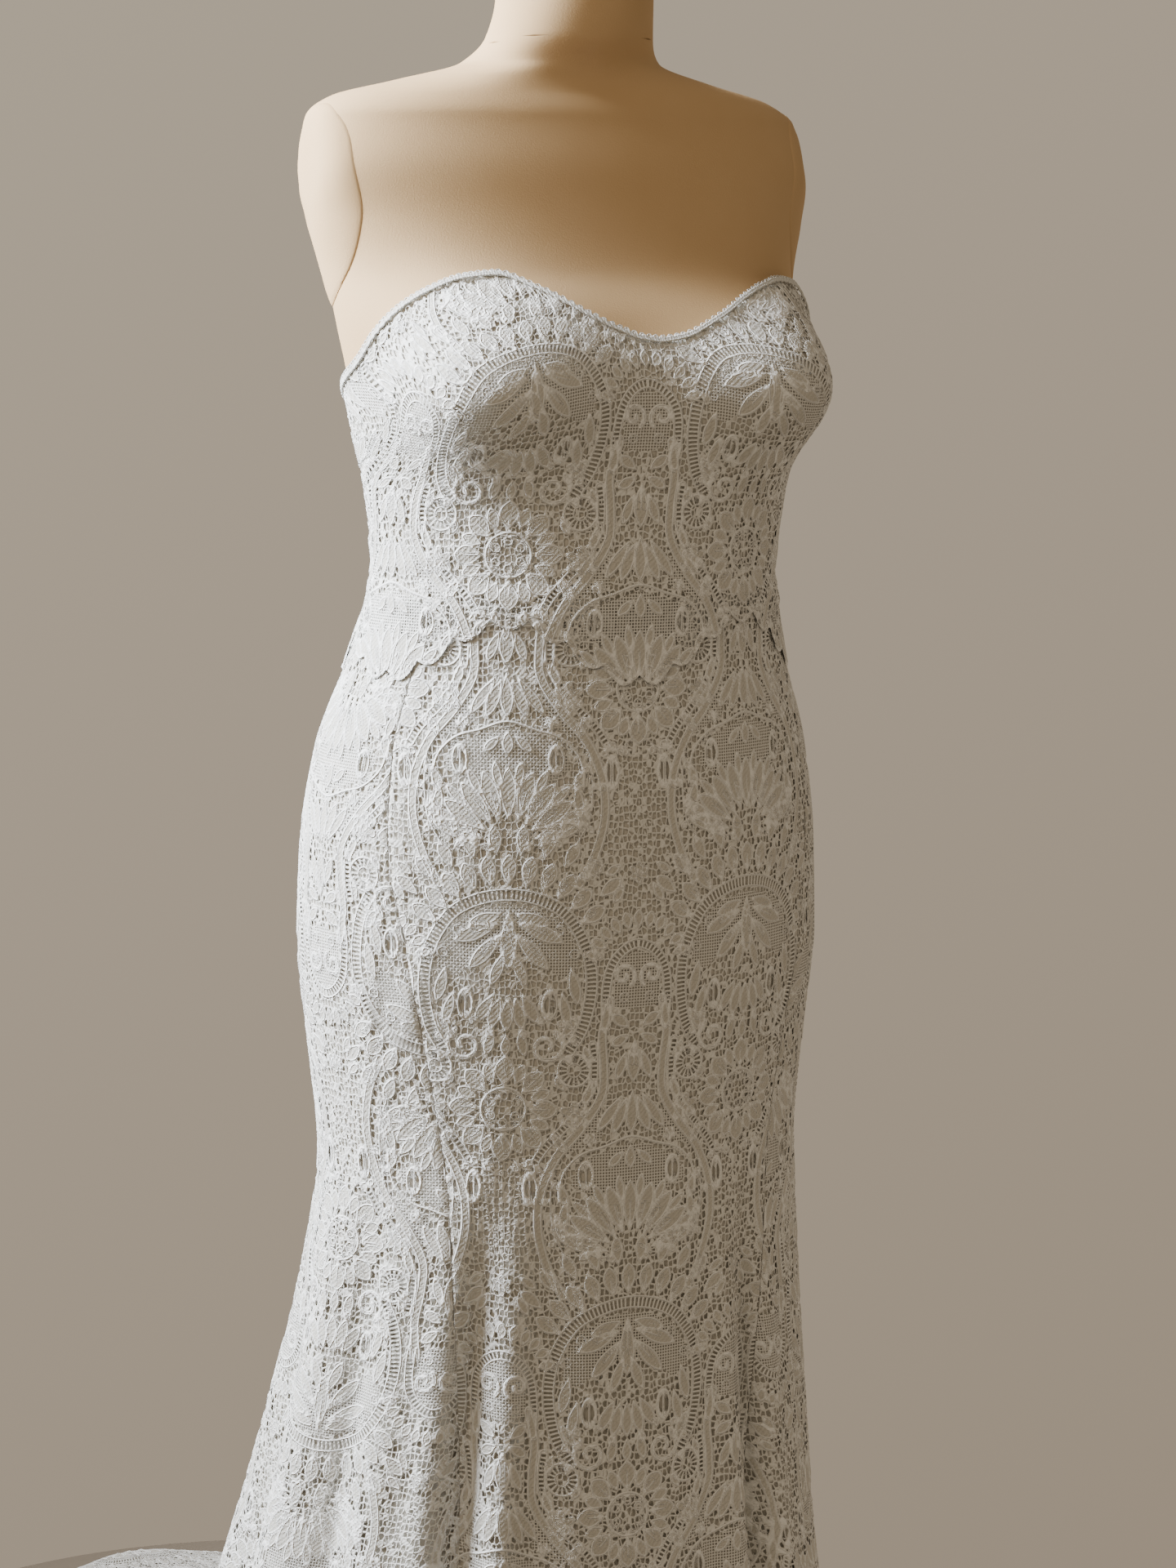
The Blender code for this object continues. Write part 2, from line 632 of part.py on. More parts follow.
def make_form():
    jersey = make_material("tan_jersey", (0.56, 0.40, 0.24), 0.8)
    metal = make_material("satin_steel", (0.55, 0.55, 0.55), 0.35, 0.9)
    base_paint = make_material("base_enamel", (0.80, 0.79, 0.76), 0.4)
    make_torso(jersey)
    make_arm_plate("form_arm_plate_right", -1, jersey)
    make_arm_plate("form_arm_plate_left", 1, jersey)
    cap_low = NECK_TOP + TOUCH_GAP
    cap = ((0.052, cap_low), (0.052, cap_low + 3 * MM), (0.046, cap_low + 6 * MM), (0.020, cap_low + 8 * MM))
    make_turned("form_neck_cap", cap, 24, jersey, (0.0, section_value(NECK_TOP, "centre")))
    pole = ((POLE_RADIUS, HUB_TOP + TOUCH_GAP), (POLE_RADIUS, TORSO_BOTTOM - TOUCH_GAP))
    make_turned("stand_pole", pole, 20, metal)
    plate_edge = BASE_THICK * 0.5
    base = (
        (BASE_RADIUS, 0.0),
        (BASE_RADIUS, plate_edge),
        (BASE_RADIUS - 6 * MM, BASE_THICK),
        (HUB_RADIUS + 10 * MM, BASE_THICK + 4 * MM),
        (HUB_RADIUS, BASE_THICK + 12 * MM),
        (POLE_RADIUS + 6 * MM, HUB_TOP - 4 * MM),
        (POLE_RADIUS + 3 * MM, HUB_TOP),
    )
    make_turned("stand_base", base, 40, base_paint)


def make_dress():
    satin = make_material("lining_satin", (0.80, 0.80, 0.77), 0.55)
    lace = make_material("corded_lace", (0.86, 0.86, 0.84), 0.75)
    inner = ring_grid()
    normal = normals_of(inner)
    tangents = ring_tangents(inner, normal)
    lining_outer = inner + LINING_THICK * normal
    lace_inner = lining_outer + (LAYER_GAP + free_lace(inner)) * normal
    lace_outer = lace_inner + LACE_THICK * normal
    half_front = len(FRONT_SHARES) - 1
    half_side = len(SIDE_SHARES) - 1
    half_back = len(BACK_SHARES) - 1
    centre = half_front + half_side + half_back
    spans = {
        "back_right": (0, half_back),
        "side_right": (half_back, half_back + half_side),
        "front": (centre - half_front, centre + half_front),
        "side_left": (centre + half_front, centre + half_front + half_side),
        "back_left": (centre + half_front + half_side, 2 * centre),
    }

    def panel(grid, span, first_row=0):
        columns = slice(span[0], span[1] + 1)
        return trim_seams(grid[:, columns], tangents[first_row : first_row + len(grid), columns])

    for name, span in spans.items():
        make_wall("lining_" + name, panel(inner, span), panel(lining_outer, span), satin)

    join = np.array([JOIN_SHARES[k % 2] for k in range(inner.shape[1])])[:, None]

    def waist_edge(grid, side):
        """The waist join on a lace grid, moved up or down by half the gap between the two laces."""
        edge = grid[WAIST_ROW] * (1 - join) + grid[WAIST_ROW + 1] * join
        way = grid[WAIST_ROW + 1] - grid[WAIST_ROW]
        way = way / np.linalg.norm(way, axis=-1, keepdims=True)
        return (edge + side * SEAM_GAP * way)[None]

    def bodice(grid):
        return np.concatenate([grid[: WAIST_ROW + 1], waist_edge(grid, -1)])

    def skirt(grid):
        """From the waist join down, ending a little short of the lining's hem."""
        grid = np.concatenate([waist_edge(grid, 1), grid[WAIST_ROW + 1 :]])
        way = grid[-2] - grid[-1]
        grid[-1] += LACE_HEM_SETBACK * way / np.linalg.norm(way, axis=-1, keepdims=True)
        return grid

    bodice_inner, bodice_outer = bodice(lace_inner), bodice(lace_outer)
    bodice_spans = {
        "back_right": spans["back_right"],
        "front": (spans["side_right"][0], spans["side_left"][1]),
        "back_left": spans["back_left"],
    }
    for name, span in bodice_spans.items():
        piece_inner, piece_outer = panel(bodice_inner, span), panel(bodice_outer, span)
        middle = (span[1] - span[0]) // 2
        gaps = lace_gaps(piece_outer, middle, WAIST_ROW, BODICE_CROWN)
        make_wall("lace_bodice_" + name, piece_inner, piece_outer, lace, gaps)

    skirt_inner, skirt_outer = skirt(lace_inner), skirt(lace_outer)
    for name, span in spans.items():
        piece_inner, piece_outer = panel(skirt_inner, span, WAIST_ROW), panel(skirt_outer, span, WAIST_ROW)
        side_panel = name.startswith("side")
        middle = {"back_right": 0, "back_left": half_back}.get(name, (span[1] - span[0]) // 2)
        crown = SIDE_CROWN if side_panel else FRONT_CROWN
        gaps = lace_gaps(piece_outer, middle, 1, crown, turned=side_panel)
        make_wall("lace_skirt_" + name, piece_inner, piece_outer, lace, gaps)

    whole = (0, 2 * centre)
    edge_inner = lace_outer[:2] + LAYER_GAP * normal[:2]
    edge_outer = edge_inner + EDGE_THICK * normal[:2]
    make_wall("neck_edging", panel(edge_inner, whole), panel(edge_outer, whole), satin)


make_form()
make_dress()
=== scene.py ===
"""The looks of a strapless trumpet wedding dress of corded lace, standing on a limbless dress form.

Metres, +Z up, the front faces -Y. An angle round the body is 0 at the centre front and positive towards +X.
"""

import math

import bpy
import numpy as np
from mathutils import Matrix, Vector


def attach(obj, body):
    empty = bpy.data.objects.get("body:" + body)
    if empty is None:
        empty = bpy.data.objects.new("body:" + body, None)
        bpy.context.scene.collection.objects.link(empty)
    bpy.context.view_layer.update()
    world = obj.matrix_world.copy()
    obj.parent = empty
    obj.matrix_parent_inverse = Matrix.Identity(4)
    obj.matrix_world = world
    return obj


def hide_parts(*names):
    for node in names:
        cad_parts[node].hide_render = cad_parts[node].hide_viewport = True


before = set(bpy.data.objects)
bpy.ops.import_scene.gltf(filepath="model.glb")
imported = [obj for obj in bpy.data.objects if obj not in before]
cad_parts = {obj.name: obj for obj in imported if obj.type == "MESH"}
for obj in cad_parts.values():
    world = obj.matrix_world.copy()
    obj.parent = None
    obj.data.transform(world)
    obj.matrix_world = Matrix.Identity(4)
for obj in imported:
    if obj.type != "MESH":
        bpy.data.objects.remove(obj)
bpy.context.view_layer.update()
MM = 0.001

# Lining
# The real lining is an opaque off-white satin in five panels, from the top edge down to the hem. It is sewn
# at the princess seams, the side-back seams and the centre back, and it carries the shape of the gown.
LINING_THICK = 1.0 * MM
SEAM_GAP = 0.3 * MM
BODY_NAMES = ("height", "half_width", "front", "back", "centre")
BODY = np.array(
    [
        (1.500, 0.0565, 0.057, 0.057, -0.031),
        (1.471, 0.0570, 0.057, 0.057, -0.030),
        (1.442, 0.0610, 0.060, 0.062, -0.020),
        (1.425, 0.0740, 0.062, 0.070, -0.004),
        (1.412, 0.1220, 0.066, 0.078, 0.006),
        (1.400, 0.1700, 0.072, 0.086, 0.010),
        (1.385, 0.1920, 0.078, 0.093, 0.010),
        (1.350, 0.2020, 0.083, 0.098, 0.004),
        (1.310, 0.1900, 0.088, 0.100, -0.001),
        (1.275, 0.1820, 0.094, 0.104, -0.008),
        (1.240, 0.1800, 0.100, 0.108, -0.024),
        (1.205, 0.1750, 0.105, 0.110, -0.032),
        (1.160, 0.1670, 0.106, 0.110, -0.034),
        (1.120, 0.1575, 0.108, 0.112, -0.034),
        (1.055, 0.1505, 0.112, 0.115, -0.030),
        (1.000, 0.1625, 0.122, 0.122, -0.017),
        (0.930, 0.1850, 0.134, 0.136, -0.006),
        (0.860, 0.1950, 0.139, 0.147, -0.002),
        (0.790, 0.1970, 0.140, 0.149, 0.000),
        (0.710, 0.1890, 0.134, 0.141, 0.002),
        (0.635, 0.1825, 0.128, 0.132, 0.002),
        (0.540, 0.1880, 0.134, 0.138, 0.012),
        (0.420, 0.2020, 0.156, 0.160, 0.036),
        (0.300, 0.2200, 0.192, 0.190, 0.066),
        (0.180, 0.2460, 0.243, 0.232, 0.096),
        (0.080, 0.2750, 0.293, 0.280, 0.126),
        (0.000, 0.2950, 0.333, 0.320, 0.150),
    ]
)
CUP_ANGLE, CUP_HEIGHT, CUP_OUT = 37.0, 1.190, 0.054
CUP_SPREAD_IN, CUP_SPREAD_SIDE = 27.0, 22.0
CUP_SPREAD_UP, CUP_SPREAD_DOWN = 0.062, 0.050
# Top edge: angle, height at the right, height at the left
TOP_EDGE = np.array(
    [
        (0, 1.2285, 1.2285),
        (5, 1.2350, 1.2265),
        (10, 1.2430, 1.2285),
        (20, 1.2610, 1.2420),
        (29, 1.2720, 1.2555),
        (37, 1.2695, 1.2640),
        (46, 1.2610, 1.2690),
        (56, 1.2480, 1.2670),
        (66, 1.2320, 1.2550),
        (78, 1.2140, 1.2320),
        (94, 1.2000, 1.2060),
        (115, 1.1850, 1.1860),
        (145, 1.1720, 1.1720),
        (180, 1.1680, 1.1680),
    ]
)
SEAM_NAMES = ("height", "princess", "side_back", "centre_back")
SEAMS = np.array(
    [
        (1.280, 64, 104, 180),
        (1.055, 62, 105, 180),
        (0.857, 57, 107, 180),
        (0.800, 52, 108, 180),
        (0.665, 45.5, 110, 180),
        (0.550, 40.5, 111, 180),
        (0.320, 34.5, 112, 180),
        (0.000, 33, 114, 180),
    ]
)
PANEL_SEAMS = {
    "front": ((-1, "princess"), (1, "princess")),
    "side_right": ((-1, "side_back"), (-1, "princess")),
    "side_left": ((1, "princess"), (1, "side_back")),
    "back_right": ((-1, "centre_back"), (-1, "side_back")),
    "back_left": ((1, "side_back"), (1, "centre_back")),
    "bodice_front": ((-1, "side_back"), (1, "side_back")),
    "whole": ((-1, "centre_back"), (1, "centre_back")),
}
# Folds: angle, depth, width in degrees
FOLDS = (
    (20, -0.003, 4.0),
    (26, 0.008, 4.5),
    (34, -0.015, 4.0),
    (42, 0.008, 4.5),
    (53, 0.004, 6.0),
    (65, -0.009, 5.0),
    (81, 0.010, 8.0),
    (98, -0.010, 6.0),
    (113, 0.013, 7.0),
    (129, -0.012, 6.0),
    (146, 0.014, 7.0),
    (162, -0.012, 6.0),
    (180, 0.010, 7.0),
)
FOLD_HEIGHT, FOLD_START, FOLD_MOST = 0.32, 0.620, 1.5
# Creases: angle, height, lean in degrees, length, width, depth
CREASES = (
    (-58, 1.075, 80, 0.060, 0.007, 0.0010),
    (-80, 1.045, 98, 0.080, 0.008, 0.0014),
    (-97, 1.085, 84, 0.050, 0.007, 0.0010),
    (-22, 1.032, 94, 0.070, 0.009, 0.0008),
    (30, 1.068, 86, 0.065, 0.008, 0.0009),
    (63, 1.040, 101, 0.075, 0.008, 0.0013),
    (88, 1.078, 82, 0.060, 0.007, 0.0011),
    (-128, 1.060, 96, 0.070, 0.008, 0.0012),
    (-152, 1.028, 84, 0.060, 0.009, 0.0010),
    (131, 1.036, 99, 0.080, 0.008, 0.0013),
    (158, 1.066, 88, 0.055, 0.007, 0.0010),
    (-50, 0.760, 24, 0.110, 0.012, 0.0013),
    (-66, 0.700, 12, 0.130, 0.011, 0.0016),
    (-33, 0.640, 8, 0.120, 0.013, 0.0014),
    (14, 0.600, -6, 0.150, 0.015, 0.0016),
    (36, 0.690, -18, 0.110, 0.011, 0.0014),
    (74, 0.650, -10, 0.130, 0.012, 0.0016),
    (-8, 0.500, 4, 0.170, 0.017, 0.0022),
    (-132, 0.690, 14, 0.120, 0.012, 0.0016),
    (150, 0.640, -9, 0.150, 0.013, 0.0018),
    (120, 0.730, -16, 0.100, 0.011, 0.0014),
)
HEM_REST = 0.020
TRAIN_CENTRE, TRAIN_BACK, TRAIN_SIDE = 0.150, 0.950, 0.460
TRAIN_START, TRAIN_LIFT = 62.0, 0.55
LIFT_HEIGHT, LIFT_SWELL = 0.07, 1.2
BEND_REACH, BEND_ROUNDS, BEND_IN_FRONT = 0.06, 36, 0.3
UPPER = 1.12
FLOOR_ROW = UPPER
HEM_ROW = UPPER + 1.0
LACE_TOP = 1.045
FINE_END = 0.30
UPPER_ROWS, WAIST_ROWS = 31, 16
LINING_STEP = 5
# Grids: columns, and rows in the fine stretch, in the flare and on the floor
PANEL_GRIDS = {
    "front": (190, 355, 110, 6),
    "side_right": (120, 320, 100, 60),
    "side_left": (120, 320, 100, 60),
    "back_right": (130, 255, 80, 150),
    "back_left": (130, 255, 80, 150),
}


def along(x, xs, ys):
    """Value at x on a monotone cubic curve through the points xs, ys."""
    if xs[0] > xs[-1]:
        xs, ys = xs[::-1], ys[::-1]
    step = np.diff(xs)
    slope = np.diff(ys) / step
    tangent = np.concatenate([slope[:1], np.zeros(len(xs) - 2), slope[-1:]])
    for i in range(1, len(xs) - 1):
        if slope[i - 1] * slope[i] > 0:
            before = 2 * step[i] + step[i - 1]
            after = step[i] + 2 * step[i - 1]
            tangent[i] = (before + after) / (before / slope[i - 1] + after / slope[i])
    x = np.clip(x, xs[0], xs[-1])
    k = np.clip(np.searchsorted(xs, x) - 1, 0, len(step) - 1)
    t = (x - xs[k]) / step[k]
    return (
        (1 + 2 * t) * (1 - t) ** 2 * ys[k]
        + t * (1 - t) ** 2 * step[k] * tangent[k]
        + t * t * (3 - 2 * t) * ys[k + 1]
        + t * t * (t - 1) * step[k] * tangent[k + 1]
    )


def smooth_step(value):
    """0 to 1 with a level start and end: three times the square less twice the cube."""
    value = np.clip(value, 0, 1)
    return value * value * (3 - 2 * value)


def body_size(height, name):
    """A measure of the worn body at a height, read between the rows of BODY."""
    return along(height, BODY[:, 0], BODY[:, BODY_NAMES.index(name)])


def folds(angle, height):
    """How far the flare's folds stand out: bell curves round the body, added up, growing down to a limit."""
    total = np.zeros(np.broadcast(angle, height).shape)
    for at, depth, width in FOLDS:
        for side in (-1, 1) if at < 180 else (1,):
            away = np.abs((angle - side * at + 180) % 360 - 180)
            total = total + depth * np.exp(-((away / width) ** 2))
    fall = np.clip((FOLD_START - height) / (FOLD_START - FOLD_HEIGHT), 0, None)
    rate = math.log(FOLD_MOST / (FOLD_MOST - 1))
    return total * FOLD_MOST * (1 - np.exp(-rate * fall))


def creases(angle, height):
    """Soft ridges of the worn cloth: each is a bell across its line and a longer bell along it."""
    total = np.zeros(np.broadcast(angle, height).shape)
    radius = body_size(height, "half_width")
    for at, level, lean, length, width, depth in CREASES:
        level_way = np.radians(angle - at) * radius
        turn = math.radians(lean)
        run = (height - level) * math.cos(turn) + level_way * math.sin(turn)
        aside = level_way * math.cos(turn) - (height - level) * math.sin(turn)
        total = total + depth * np.exp(-((run / length) ** 2) - (aside / width) ** 2)
    return total


def body_point(angle, height, cups=CUP_OUT, worn=True):
    """Points on two half ellipses a height, pushed out by cups, folds and creases, and the ways out."""
    turn = np.radians(angle)
    depth = np.where(np.cos(turn) > 0, body_size(height, "front"), body_size(height, "back"))
    half_width = body_size(height, "half_width")
    across, back = np.sin(turn) / half_width, -np.cos(turn) / depth
    length = np.hypot(across, back)
    out = np.stack([across / length, back / length], -1)
    spread = np.where(height > CUP_HEIGHT, CUP_SPREAD_UP, CUP_SPREAD_DOWN)
    beyond = np.abs(angle) - CUP_ANGLE
    reach = np.where(beyond > 0, CUP_SPREAD_SIDE, CUP_SPREAD_IN)
    bell = np.exp(-((beyond / reach) ** 2)) + np.exp(-(((beyond + 2 * CUP_ANGLE) / CUP_SPREAD_IN) ** 2))
    push = cups * np.exp(-(((height - CUP_HEIGHT) / spread) ** 2)) * bell + folds(angle, height)
    if worn:
        push = push + creases(angle, height)
    x = half_width * np.sin(turn) + push * out[..., 0]
    y = body_size(height, "centre") - depth * np.cos(turn) + push * out[..., 1]
    return np.stack([x, y, height + 0 * x], -1), out


def top_edge(angle):
    """Height of the sweetheart edge, from a table for each side."""
    right = along(-angle, TOP_EDGE[:, 0], TOP_EDGE[:, 1])
    left = along(angle, TOP_EDGE[:, 0], TOP_EDGE[:, 2])
    return np.where(angle < 0, right, left)


def train_plan(angle, touch, out):
    """Plan of the hem on the floor: just outside the touch line in front, and a rounded train behind."""
    turn = np.radians(angle)
    near = touch[..., :2] + HEM_REST * out
    bulge = np.sin(2 * (np.abs(turn) - math.pi / 2)) ** 2
    far_x = np.sin(turn) * (BODY[-1, 1] + TRAIN_SIDE * bulge)
    far_y = TRAIN_CENTRE - TRAIN_BACK * np.cos(turn)
    share = smooth_step((np.abs(angle) - TRAIN_START) / (180 - TRAIN_START))
    return near + (np.stack([far_x, far_y], -1) - near) * share[..., None], share


def unit_normals(points):
    """Unit normals of a grid of points, facing out: the way down crossed with the way to the left."""
    normals = np.cross(np.gradient(points, axis=0), np.gradient(points, axis=1))
    return normals / np.linalg.norm(normals, axis=-1, keepdims=True)


def cloth_surface(panel, columns, rows):
    """Inside of a panel's cloth as a grid of points, with its normals.

    A row is -1 at the top edge, 0 at the height UPPER, FLOOR_ROW where the cloth meets the floor and HEM_ROW
    at the hem. The angle runs from seam to seam. A hanging point is the body's, and a lying one is
    between the touch line and the train's plan. The rows near the bend are smoothed.
    """
    share = np.linspace(0, 1, columns)[None, :]
    row = rows[:, None]
    seam_height = np.where(row < 0, UPPER - row * (CUP_HEIGHT - UPPER), np.clip(UPPER - row, 0, None))
    ends = []
    for side, seam in PANEL_SEAMS[panel]:
        ends.append(side * along(seam_height, SEAMS[:, 0], SEAMS[:, SEAM_NAMES.index(seam)]))
    angle = ends[0] + (ends[1] - ends[0]) * share
    height = np.where(row < 0, UPPER - (top_edge(angle) - UPPER) * row, np.clip(UPPER - row, 0, None))
    points, out = body_point(angle, height)
    plan, train = train_plan(angle, points, out)
    lift = np.clip(folds(angle, 0 * height), 0, None) * TRAIN_LIFT * train
    on_floor = np.clip(row - FLOOR_ROW, 0, 1)
    points[..., :2] += (plan - points[..., :2]) * on_floor[..., None]
    hanging = points[..., 2] + lift * np.clip(1 - height / LIFT_HEIGHT, 0, 1)
    lying = lift * (1 - on_floor) * (1 + LIFT_SWELL * on_floor)
    points[..., 2] = np.where(on_floor > 0, lying, hanging)
    softness = BEND_IN_FRONT + (1 - BEND_IN_FRONT) * train
    near_bend = 0.5 * np.exp(-(((row - FLOOR_ROW) / BEND_REACH) ** 2)) * softness
    for _ in range(BEND_ROUNDS):
        middle = (points[:-2] + points[2:]) / 2
        points[1:-1] += near_bend[1:-1, :, None] * (middle - points[1:-1])
    points[..., 2] = np.clip(points[..., 2], 0, None)
    return points, unit_normals(points)


def panel_rows(fine_rows, flare_rows, floor_rows):
    """Rows of a panel: coarse down to the waist, fine to the flare, coarser to the floor and the hem."""
    stretches = (
        np.linspace(-1, 0, UPPER_ROWS)[:-1],
        np.linspace(0, UPPER - LACE_TOP, WAIST_ROWS)[:-1],
        np.linspace(UPPER - LACE_TOP, UPPER - FINE_END, fine_rows)[:-1],
        np.linspace(UPPER - FINE_END, FLOOR_ROW, flare_rows)[:-1],
        np.linspace(FLOOR_ROW, HEM_ROW, floor_rows),
    )
    return np.concatenate(stretches)


def run_lengths(points, axis):
    """Distance run along each row or column of a grid of points."""
    step = np.linalg.norm(np.diff(points, axis=axis), axis=-1)
    start = np.zeros_like(np.take(points[..., 0], [0], axis=axis))
    return np.concatenate([start, np.cumsum(step, axis)], axis)


def grid_faces(rows, columns):
    """Quads of a grid of points, as rows of four indices that face out."""
    at = np.arange(rows * columns).reshape(rows, columns)
    return np.stack([at[:-1, :-1], at[1:, :-1], at[1:, 1:], at[:-1, 1:]], -1).reshape(-1, 4)


def make_piece(name, points, faces, material, cloth=None, layers=None):
    """A mesh object at the origin from arrays of points and faces, with a cloth map and point values."""
    mesh = bpy.data.meshes.new(name)
    mesh.vertices.add(len(points))
    mesh.vertices.foreach_set("co", points.astype(np.float32).ravel())
    mesh.loops.add(faces.size)
    mesh.loops.foreach_set("vertex_index", faces.astype(np.int32).ravel())
    mesh.polygons.add(len(faces))
    mesh.polygons.foreach_set("loop_start", np.arange(0, faces.size, faces.shape[1], dtype=np.int32))
    mesh.polygons.foreach_set("use_smooth", np.ones(len(faces), bool))
    mesh.update(calc_edges=True)
    if cloth is not None:
        uv = mesh.uv_layers.new(name="cloth")
        uv.data.foreach_set("uv", cloth[faces.ravel()].astype(np.float32).ravel())
    for layer, values in (layers or {}).items():
        attribute = mesh.attributes.new(layer, "FLOAT", "POINT")
        attribute.data.foreach_set("value", values.astype(np.float32).ravel())
    mesh.materials.append(material)
    piece = bpy.data.objects.new(name, mesh)
    bpy.context.scene.collection.objects.link(piece)
    return piece


def make_wall(name, inner, outer, material, cloth):
    """A closed wall between two grids of points: both faces, and a strip round the border that joins them."""
    rows, columns = inner.shape[:2]
    count = rows * columns
    at = np.arange(count).reshape(rows, columns)
    border = np.concatenate([at[0, :-1], at[:-1, -1], at[-1, :0:-1], at[:0:-1, 0]])
    after = np.roll(border, -1)
    rim = np.stack([border, after, after + count, border + count], -1)
    faces = grid_faces(rows, columns)
    faces = np.concatenate([faces, faces[:, ::-1] + count, rim])
    points = np.concatenate([outer.reshape(-1, 3), inner.reshape(-1, 3)])
    return make_piece(name, points, faces, material, np.concatenate([cloth, cloth]))


def trim_seams(points):
    """Moves a panel's two seam columns in by half the seam's gap."""
    points = points.copy()
    for edge, inner in ((0, 1), (-1, -2)):
        way = points[:, inner] - points[:, edge]
        points[:, edge] += way / np.linalg.norm(way, axis=-1, keepdims=True) * SEAM_GAP / 2
    return points


def linear(colour):
    """A hex colour as linear red, green and blue, and 1."""
    parts = [int(colour[k : k + 2], 16) / 255 for k in (1, 3, 5)]
    return [p / 12.92 if p <= 0.04045 else ((p + 0.055) / 1.055) ** 2.4 for p in parts] + [1]


def add(tree, kind, inputs=None, **settings):
    """Adds a node of a kind with its settings, and gives each named input a value or a link from a socket."""
    node = tree.nodes.new("ShaderNode" + kind)
    for name, value in settings.items():
        setattr(node, name, value)
    for name, value in (inputs or {}).items():
        if isinstance(value, bpy.types.NodeSocket):
            tree.links.new(value, node.inputs[name])
        else:
            node.inputs[name].default_value = value
    return node


def start_material(name, colour, roughness):
    """A named material with the colour and roughness of the real one: material, node tree and shader."""
    material = bpy.data.materials.new(name)
    material.use_nodes = True
    tree = material.node_tree
    shader = tree.nodes["Principled BSDF"]
    shader.inputs["Base Color"].default_value = linear(colour)
    shader.inputs["Roughness"].default_value = roughness
    return material, tree, shader


THREAD_SCALE = 0.5 / (1.2 * MM) / math.pi


def lining_satin():
    """Polyester satin, woven and pressed: smooth and faintly gleaming. Threads are drawn 2.4 mm apart to show."""
    material, tree, shader = start_material("polyester_satin", "#CBC8BF", 0.55)
    shader.inputs["Sheen Weight"].default_value = 0.1
    cloth = add(tree, "UVMap", uv_map="cloth").outputs[0]
    threads = add(tree, "TexWave", {"Vector": cloth, "Scale": THREAD_SCALE, "Distortion": 0.4})
    bump = add(tree, "Bump", {"Height": threads.outputs["Fac"], "Strength": 0.25, "Distance": 0.1 * MM})
    tree.links.new(bump.outputs["Normal"], shader.inputs["Normal"])
    # The colour is a grey off-white in random patches: partly the satin's own tone, and partly painted shade for
    # where it shows through the lace's holes.
    patches = add(tree, "TexNoise", {"Vector": cloth, "Scale": 9.0, "Detail": 3.0}).outputs["Fac"]
    tint = add(tree, "Mix", {0: patches, 6: linear("#C6C3B9"), 7: linear("#D2CFC7")}, data_type="RGBA")
    tree.links.new(tint.outputs[2], shader.inputs["Base Color"])
    return material


satin = lining_satin()
panels = {}
for panel, (columns, fine_rows, flare_rows, floor_rows) in PANEL_GRIDS.items():
    points, normals = cloth_surface(panel, columns, panel_rows(fine_rows, flare_rows, floor_rows))
    panels[panel] = points, normals
    upper_rows = UPPER_ROWS + WAIST_ROWS - 2
    lower_rows = np.append(np.arange(upper_rows, len(points) - 1, LINING_STEP), len(points) - 1)
    kept_rows = np.concatenate([np.arange(upper_rows), lower_rows])
    kept_columns = np.unique(np.append(np.arange(0, columns - 1, LINING_STEP), columns - 1))
    kept = np.ix_(kept_rows, kept_columns)
    inside, faced = points[kept], normals[kept]
    cloth = np.stack([run_lengths(inside, 1), run_lengths(inside, 0)], -1).reshape(-1, 2)
    walls = trim_seams(inside), trim_seams(inside + LINING_THICK * faced)
    piece = make_wall("satin_" + panel, *walls, satin, cloth)
    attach(piece, "root")
    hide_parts("lining_" + panel)

# Lace repeat
# Guipure lace is cotton: raised cords, dense leaves and open grounds, embroidered by machine. This one is an
# ogee half-drop repeat of ordinary flowers, leaves, scrolls and ladder bands. Half of one unit is drawn in
# millimetres, outwards from its axis and down from the crown of its arch, and the rest is its mirror image.
REPEAT = 606.0
CHART_STEP, CHART_REACH, FAR = 0.5, 9.0, 50.0
UNIT_WIDTH, UNIT_TOP, UNIT_END = 95.0, -100.0, 620.0
HALF_DROP = REPEAT / 2
CURVE_STEPS = 8
CORD_HALF, FINE_CORD_HALF, OUTLINE_HALF = 1.25, 0.8, 1.0
BAR_PITCH, LADDER_RAIL = 3.2, 0.95
ARCH_HALF, SMALL_ARCH_HALF, OGEE_HALF, OGEE_LADDER_HALF = 4.0, 3.0, 3.6, 2.6
ARCH = ((-20, -2), (0, -5), (20, -2), (38, 7), (50, 22), (58, 42), (60, 66), (55, 92), (44, 112))
SMALL_ARCH = ((23, 394), (24, 371), (21, 352), (12, 340), (0, 335), (-12, 340))
OGEE = (
    ((20, 376), (25, 400), (23, 424), (24, 446), (38, 470))
    + ((56, 492), (67, 518), (69, 545), (62, 572), (50, 594))
)
OGEE_LADDER = ((32, 408), (30, 424), (32, 442), (45, 463), (63, 483), (71, 495))
CANOPY = ((-20, 484), (0, 478), (20, 484), (38, 490), (51, 504), (54, 524))
VINES = (
    ((8, 190), (16, 196), (26, 194)),
    ((58, 502), (60, 522), (58, 546), (48, 566)),
    ((8, 560), (22, 566), (36, 560), (46, 552)),
)
FINE_GROUNDS = (
    ((0, 2), (20, 6), (38, 15), (47, 30), (51, 48), (38, 56), (20, 40), (0, 36)),
    ((0, 482), (20, 488), (38, 495), (46, 512), (20, 524), (0, 530)),
    ((0, 340), (12, 344), (18, 356), (18, 380), (0, 384)),
    ((26, 452), (38, 474), (52, 492), (40, 486), (22, 478)),
)
